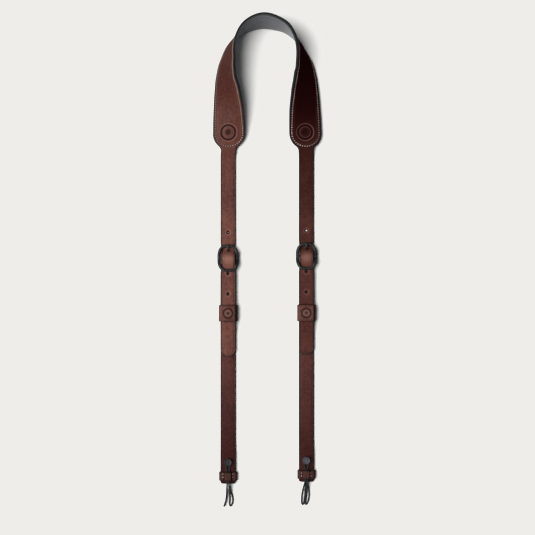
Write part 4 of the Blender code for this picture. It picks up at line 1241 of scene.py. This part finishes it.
def makeKeeper(limb):
    wall = fittings["keeperWall"]
    centreY = limb.barY - limb.barToKeeper
    length = fittings["keeperLength"]
    columns = loopKeeper["topColumns"]
    stampX, stampY = loopKeeper["stampAt"][limb.name]
    rows, paint, dark, wear = [], [], [], []
    for depth, y in rimProfile(wall, -length / 2, length / 2, loopKeeper["edgeRound"], loopKeeper["rows"]):
        high = tailInKeeper + thick + gap + depth
        loop = boxLoop(halfStrap + gap + depth, wall - depth, high, 0.5 * thick + depth, columns, loopKeeper["cornerSteps"])
        points = np.array([(limb.x + x, centreY + y, z) for x, z in loop])
        top = np.zeros(len(loop))
        top[:columns] = 1.0
        outside = depth / wall
        x = points[:, 0] - limb.x
        edgeGap = length / 2 - abs(y) + 0 * x
        crease = bell(edgeGap - loopKeeper["creaseInset"], 0.0006) * ramp(np.array(outside), 0.9, 1.0)
        relief = stampRelief(x - stampX, y - stampY + 0 * x, loopKeeper["stampRadius"], loopKeeper["stampGroove"]) * top * ramp(np.array(outside), 0.9, 1.0)
        points[:, 2] += top * outside * loopKeeper["crown"] * (1 - (x / halfStrap) ** 2).clip(0, 1)
        points[:, 2] -= loopKeeper["stampDepth"] * relief + loopKeeper["creaseDepth"] * crease * top
        rows.append(points)
        rim = float(ramp(np.array(length / 2 - abs(y)), 0.0006, 0.0)) if outside < 0.999 or edgeGap[0] < 0.0005 else 0.0
        paint.append(np.full(len(loop), rim))
        # painted shade on the loop's right side, away from the light
        rightSideShade = ramp(x - halfStrap + 0.0014, 0.0, 0.0009)
        shade = 0.5 * crease + 0.95 * relief + 0.6 * ramp(0.0012 - edgeGap, 0.0, 0.0010) + rightSideShade
        dark.append(np.clip(shade, 0, 1))
        # a painted highlight inside the stamp's ring
        wear.append(0.3 * top * ramp(loopKeeper["stampRadius"] * 1.3 - np.hypot(x, y), 0.0, 0.002) * (1 - relief))
    piece = skin(f"keeper_loop_{limb.name}", rows, {"paint": paint, "dark": dark, "wear": wear}, finishes["keeperLeather"], closed=True)
    return settle(piece, f"keeper_{limb.name}")


for limb in limbs:
    makeKeeper(limb)
print("keepers made")


# End bands with a low tunnel for the cord

bandLook = {"edgeRound": 0.0004, "rows": 22, "rampSteps": 12, "stitches": {
    "left": ((-0.0053, 0.0024), (-0.0053, -0.0008), (0.0050, 0.0024), (0.0050, -0.0008)),
    "right": ((-0.0050, 0.0016), (-0.0050, -0.0014), (0.0046, 0.0016), (0.0046, -0.0014)),
}}


def bandLoop(depth):
    # round the strap's section with an arch in its roof, from the right foot of the arch leftwards
    roof = bandLift + thick + gap + depth
    half = halfStrap + gap + depth
    halfTunnel = tunnelWidth / 2 + depth
    reach = 0.8 * fittings["cord"]
    count = bandLook["rampSteps"]
    right = []
    for i in range(count + 1):
        share = i / count
        right.append((halfTunnel + reach * (1 - share), roof + (tunnelHeight - gap) * smooth(share)))
    arch = right + [(x, roof + tunnelHeight - gap) for x in np.linspace(halfTunnel, -halfTunnel, 9)[1:-1]]
    arch += [(-x, z) for x, z in reversed(right)]
    box = boxLoop(half, bandLift - gap - depth, roof, 0.4 * thick + depth, 2, 5)
    leftRun = [(x, roof) for x in np.linspace(-(halfTunnel + reach), box[1][0], 8)[1:-1]]
    rightRun = [(x, roof) for x in np.linspace(box[0][0], halfTunnel + reach, 8)[1:-1]]
    return arch + leftRun + box[1:] + [box[0]] + rightRun


def makeBand(limb):
    wall = fittings["bandWall"]
    length = fittings["bandLength"]
    centreY = limb.barY - lower["toBand"]
    roofTop = bandLift + thick + gap + wall
    rows, paint, dark, wear = [], [], [], []
    for depth, y in rimProfile(wall, -length / 2, length / 2, bandLook["edgeRound"], bandLook["rows"]):
        loop = bandLoop(depth)
        points = np.array([(limb.x + x, centreY + y, z) for x, z in loop])
        outside = float(depth > wall * 0.999)
        edgeGap = length / 2 - abs(y)
        top = (points[:, 2] > bandLift + thick).astype(float)
        foot = tunnelWidth / 2 + 0.8 * fittings["cord"] + wall
        beside = bell(np.abs(points[:, 0] - limb.x) - foot - 0.0002, 0.0009) * top * outside
        crease = float(bell(np.array(edgeGap - 0.0012), 0.0005)) * outside * top
        points[:, 2] -= 0.00018 * beside + 0.00012 * crease
        rows.append(points)
        paint.append(np.full(len(loop), 1.0 if edgeGap < 0.0003 and outside < 1 else 0.0))
        atSide = ramp(np.abs(points[:, 0] - limb.x) - halfStrap + 0.0004, 0.0, 0.0008)
        rim = float(ramp(np.array(0.0011 - edgeGap), 0.0, 0.0006))
        shaded = ramp(points[:, 0] - limb.x - tunnelWidth / 2 - 0.0002, 0.0, 0.0006) * beside
        onTunnel = 0.3 * ramp(points[:, 2] - roofTop, 0.0, 0.0006)
        dark.append(np.clip(0.8 * beside + 0.4 * crease + 0.9 * rim + 0.8 * atSide + shaded + onTunnel, 0, 1))
        # a painted highlight along the tunnel's top
        wear.append(0.12 * bell(points[:, 2] - points[:, 2].max(), 0.0006) * outside)
    piece = skin(f"band_loop_{limb.name}", rows, {"paint": paint, "dark": dark, "wear": wear}, finishes["bandLeather"], closed=True, smoothAngle=60.0)
    settle(piece, f"end_band_{limb.name}")
    stitches = []
    for x, y in bandLook["stitches"][limb.name]:
        stitches.append((np.array((limb.x + x, centreY + y, roofTop)), np.array((0.25, 1.0, 0.0)), np.array((0.0, 0.0, 1.0))))
    sew(f"band_stitches_{limb.name}", stitches, finishes["bandThread"])


for limb in limbs:
    makeBand(limb)
print("end bands made")


# Studs

studLook = {"sides": 56, "rim": 0.0005, "dish": 0.00025, "tilt": {"left": (0.0, 0.0), "right": (0.0, 0.0)}}


def makeStud(limb):
    strapTop = bandLift + thick
    headLow = strapTop + fittings["cord"] + 3 * gap
    headHigh = headLow + fittings["headHeight"]
    baseLow = bandLift - gap - fittings["baseHeight"]
    radius = fittings["headRadius"]
    rim = studLook["rim"]
    profile = [(0.3 * fittings["baseRadius"], baseLow), (0.85 * fittings["baseRadius"], baseLow),
               (fittings["baseRadius"], baseLow + 0.3 * fittings["baseHeight"]),
               (fittings["baseRadius"], baseLow + fittings["baseHeight"]),
               (fittings["stemRadius"], baseLow + fittings["baseHeight"]),
               (fittings["stemRadius"], headLow - 0.0002), (fittings["stemRadius"] + 0.0002, headLow)]
    for i in range(7):
        angle = math.pi * (i / 6 - 0.5)
        profile.append((radius - rim + rim * math.cos(angle), headLow + rim * (1 + math.sin(angle)) * 1.3))
    top = headLow + 2.6 * rim
    for share in (0.82, 0.74, 0.6, 0.4, 0.2, 0.04):
        fall = studLook["dish"] * float(ramp(np.array(0.86 - share), 0.0, 0.2))
        profile.append((radius * share, top - fall + 0.00012 * (1 - share)))
    highest = max(z for r, z in profile)
    profile = [(r, z if z <= headLow else headLow + (z - headLow) * (headHigh - headLow) / (highest - headLow)) for r, z in profile]
    leanX, leanY = studLook["tilt"][limb.name]
    rows = []
    y = limb.barY - lower["toStud"]
    for r, z in profile:
        row = []
        lean = float(ramp(np.array(z), strapTop, headLow))
        for i in range(studLook["sides"]):
            angle = 2 * math.pi * i / studLook["sides"]
            across, along = r * math.cos(angle), r * math.sin(angle)
            row.append((limb.x + across, y + along, z + lean * (across * leanX + along * leanY)))
        rows.append(row)
    finish = finishes["studLeft" if limb is leftLimb else "studRight"]
    piece = skin(f"stud_{limb.name}", rows, {}, finish, smoothAngle=40.0)
    return settle(piece, f"button_stud_{limb.name}")


for limb in limbs:
    makeStud(limb)
print("studs made")


# Cords: inside the tunnel, one loop, round the stud, the other loop, back into the tunnel.
# Points are metres from the middle of the end band, with heights above the table.

cordRoutes = {
    "left": (
        (-0.0008, 0.0030, 0.0060), (-0.0008, -0.0010, 0.0060), (-0.0009, -0.0050, 0.0060),
        (-0.0010, -0.0084, 0.0057), (-0.0012, -0.0118, 0.0048), (-0.0014, -0.0155, 0.0037),
        (-0.0016, -0.0195, 0.0029), (-0.0020, -0.0235, 0.0024), (-0.0027, -0.0270, 0.0023),
        (-0.0037, -0.0298, 0.0023), (-0.0043, -0.0315, 0.0019), (-0.0043, -0.0315, 0.0011),
        (-0.0037, -0.0298, 0.0007), (-0.0027, -0.0268, 0.0007), (-0.0020, -0.0233, 0.0007),
        (-0.0017, -0.0195, 0.0009), (-0.0015, -0.0155, 0.0017), (-0.0012, -0.0118, 0.0032),
        (-0.0010, -0.0084, 0.0043), (-0.0009, -0.0050, 0.0044), (-0.0008, 0.0000, 0.0044),
        (-0.0009, 0.0045, 0.0044), (-0.0014, 0.0078, 0.0044), (-0.0023, 0.0110, 0.0044),
        (-0.0028, 0.0140, 0.0044), (-0.0022, 0.0168, 0.0044), (0.0000, 0.0179, 0.0044),
        (0.0022, 0.0168, 0.0044), (0.0028, 0.0140, 0.0044), (0.0023, 0.0110, 0.0044),
        (0.0014, 0.0078, 0.0044), (0.0009, 0.0045, 0.0044), (0.0008, 0.0000, 0.0044),
        (0.0009, -0.0050, 0.0044), (0.0010, -0.0084, 0.0043), (0.0013, -0.0118, 0.0032),
        (0.0015, -0.0155, 0.0016), (0.0016, -0.0195, 0.0008), (0.0017, -0.0235, 0.0007),
        (0.0015, -0.0275, 0.0007), (0.0016, -0.0302, 0.0007), (0.0024, -0.0316, 0.0007),
        (0.0035, -0.0307, 0.0007), (0.0045, -0.0285, 0.0007), (0.0049, -0.0250, 0.0007),
        (0.0044, -0.0212, 0.0008), (0.0034, -0.0180, 0.0015), (0.0023, -0.0150, 0.0033),
        (0.0014, -0.0118, 0.0050), (0.0010, -0.0084, 0.0059), (0.0009, -0.0050, 0.0060),
        (0.0008, -0.0010, 0.0060), (0.0008, 0.0030, 0.0060),
    ),
    "right": (
        (-0.0008, 0.0030, 0.0060), (-0.0008, -0.0010, 0.0060), (-0.0010, -0.0050, 0.0060),
        (-0.0017, -0.0084, 0.0056), (-0.0026, -0.0118, 0.0042), (-0.0035, -0.0155, 0.0025),
        (-0.0043, -0.0195, 0.0011), (-0.0048, -0.0240, 0.0007), (-0.0050, -0.0280, 0.0007),
        (-0.0047, -0.0308, 0.0007), (-0.0038, -0.0320, 0.0007), (-0.0029, -0.0306, 0.0007),
        (-0.0023, -0.0275, 0.0007), (-0.0018, -0.0235, 0.0007), (-0.0014, -0.0195, 0.0007),
        (-0.0011, -0.0155, 0.0015), (-0.0009, -0.0118, 0.0031), (-0.0009, -0.0084, 0.0043),
        (-0.0009, -0.0050, 0.0044), (-0.0008, 0.0000, 0.0044), (-0.0009, 0.0045, 0.0044),
        (-0.0014, 0.0078, 0.0044), (-0.0023, 0.0110, 0.0044), (-0.0028, 0.0140, 0.0044),
        (-0.0022, 0.0168, 0.0044), (0.0000, 0.0179, 0.0044), (0.0022, 0.0168, 0.0044),
        (0.0028, 0.0140, 0.0044), (0.0023, 0.0110, 0.0044), (0.0014, 0.0078, 0.0044),
        (0.0009, 0.0045, 0.0044), (0.0008, 0.0000, 0.0044), (0.0009, -0.0050, 0.0044),
        (0.0012, -0.0084, 0.0043), (0.0018, -0.0118, 0.0031), (0.0024, -0.0155, 0.0015),
        (0.0028, -0.0195, 0.0007), (0.0027, -0.0240, 0.0007), (0.0019, -0.0280, 0.0007),
        (0.0006, -0.0308, 0.0007), (-0.0004, -0.0319, 0.0008), (-0.0011, -0.0309, 0.0011),
        (-0.0009, -0.0285, 0.0011), (-0.0003, -0.0245, 0.0008), (0.0001, -0.0200, 0.0012),
        (0.0003, -0.0155, 0.0029), (0.0006, -0.0118, 0.0048), (0.0008, -0.0084, 0.0059),
        (0.0009, -0.0050, 0.0060), (0.0008, -0.0010, 0.0060), (0.0008, 0.0030, 0.0060),
    ),
}


braid = {"thickness": 0.0017, "sides": 14, "solidPoints": 58, "finer": 6}


def makeCord(limb):
    # the solid's own line, drawn finer and with the fuzz of its braid
    solidPoints, sides, finer = braid["solidPoints"], braid["sides"], braid["finer"]
    radius = braid["thickness"] / 2
    route = Curve(cordRoutes[limb.name], lead=3)
    origin = np.array((limb.x, limb.barY - lower["toBand"], 0.0))
    count = (solidPoints - 1) * finer
    line = []
    for i in range(count + 1):
        point = origin + route.at(route.length * i / count)
        point[2] = max(point[2], radius)
        line.append(point)
    line = np.array(line)
    travelled = np.concatenate(([0.0], np.cumsum(np.linalg.norm(np.diff(line, axis=0), axis=1))))
    points, faces = [], []
    side = np.array((1.0, 0.0, 0.0))
    for i, point in enumerate(line):
        heading = unit(line[min(i + 1, count)] - line[max(i - 1, 0)])
        side = unit(side - heading * side.dot(heading))
        up = np.cross(heading, side)
        for j in range(sides):
            turn = 2 * math.pi * j / sides
            points.append(point + shift + radius * (side * math.cos(turn) + up * math.sin(turn)))
    for i in range(count):
        for j in range(sides):
            k = (j + 1) % sides
            faces.append((i * sides + j, i * sides + k, (i + 1) * sides + k, (i + 1) * sides + j))
    faces.append(tuple(reversed(range(sides))))
    faces.append(tuple(count * sides + j for j in range(sides)))
    piece = addMesh(f"braided_cord_{limb.name}", points, faces, finishes["braid"], 70.0)
    cloth = piece.data.uv_layers.new(name="UVMap")
    for face in piece.data.polygons[:count * sides]:
        across = [vertex % sides for vertex in face.vertices]
        seamFace = max(across) - min(across) > 1
        for loop, vertex, around in zip(face.loop_indices, face.vertices, across):
            turn = sides if seamFace and around == 0 else around
            cloth.data[loop].uv = (travelled[vertex // sides], turn / sides)
    settle(piece, f"cord_{limb.name}")
    path = [tuple(point + shift) for point in line]
    print("cord", limb.name, round(float(travelled[-1]), 4), "m")


for limb in limbs:
    makeCord(limb)


# Table, light and camera

studio = {
    "cameraAt": (0.00027, -0.01796, 1.5), "lens": 96.13, "table": (0.86, 0.852, 0.825), "tableSize": 60.0,
    "tableTone": (0.853, 0.845, 0.812),
    "sunFrom": (-0.62, -0.02, 1.0), "sunPower": 5.05, "sunAngle": 54.0, "sky": (0.92, 0.95, 1.0), "skyPower": 0.11,
}


def makeTable():
    half = studio["tableSize"] / 2
    corners = [(-half, -half, 0.0), (half, -half, 0.0), (half, half, 0.0), (-half, half, 0.0)]
    material, tree, shader = newMaterial("pale_table")
    faint = noise(tree, place(tree), 3.0, 2.0, 0.5)
    colour = blend(tree, faint, studio["table"], tuple(c * 0.99 for c in studio["table"]))
    feed(tree, shader, colour=colour, roughness=0.9)
    shader.inputs["Specular IOR Level"].default_value = 0.1
    mesh = bpy.data.meshes.new("table")
    mesh.from_pydata(corners, [], [(0, 1, 2, 3)])
    mesh.materials.append(material)
    table = bpy.data.objects.new("table", mesh)
    table.location.z = -0.0002
    bpy.context.scene.collection.objects.link(table)


def makeLight():
    lamp = bpy.data.lights.new("soft_window", "SUN")
    lamp.energy = studio["sunPower"]
    lamp.angle = math.radians(studio["sunAngle"])
    sun = bpy.data.objects.new("soft_window", lamp)
    sun.rotation_euler = Vector(studio["sunFrom"]).to_track_quat("Z", "Y").to_euler()
    bpy.context.scene.collection.objects.link(sun)
    world = bpy.data.worlds.new("room")
    world.use_nodes = True
    room = world.node_tree.nodes["Background"]
    room.inputs["Color"].default_value = (*studio["sky"], 1.0)
    room.inputs["Strength"].default_value = studio["skyPower"]
    bpy.context.scene.world = world


def makeCamera():
    lens = bpy.data.cameras.new("camera")
    lens.lens = studio["lens"]
    lens.sensor_width = 36.0
    camera = bpy.data.objects.new("camera", lens)
    camera.location = studio["cameraAt"]
    bpy.context.scene.collection.objects.link(camera)
    bpy.context.scene.camera = camera


def setTone():
    # plain colours, with the pale table held just under white as in an evenly lit studio picture
    look = bpy.context.scene.view_settings
    look.view_transform = "Standard"
    look.use_curve_mapping = True
    look.curve_mapping.extend = "HORIZONTAL"
    for curve, held in zip(look.curve_mapping.curves, studio["tableTone"]):
        curve.points[1].location = (1.0, held)
        for level in (0.25, 0.5, 0.7):
            curve.points.new(level, level)
        curve.points.new(held, held * 0.985)
    look.curve_mapping.update()


makeTable()
makeLight()
makeCamera()
setTone()
print("table, light and camera set")
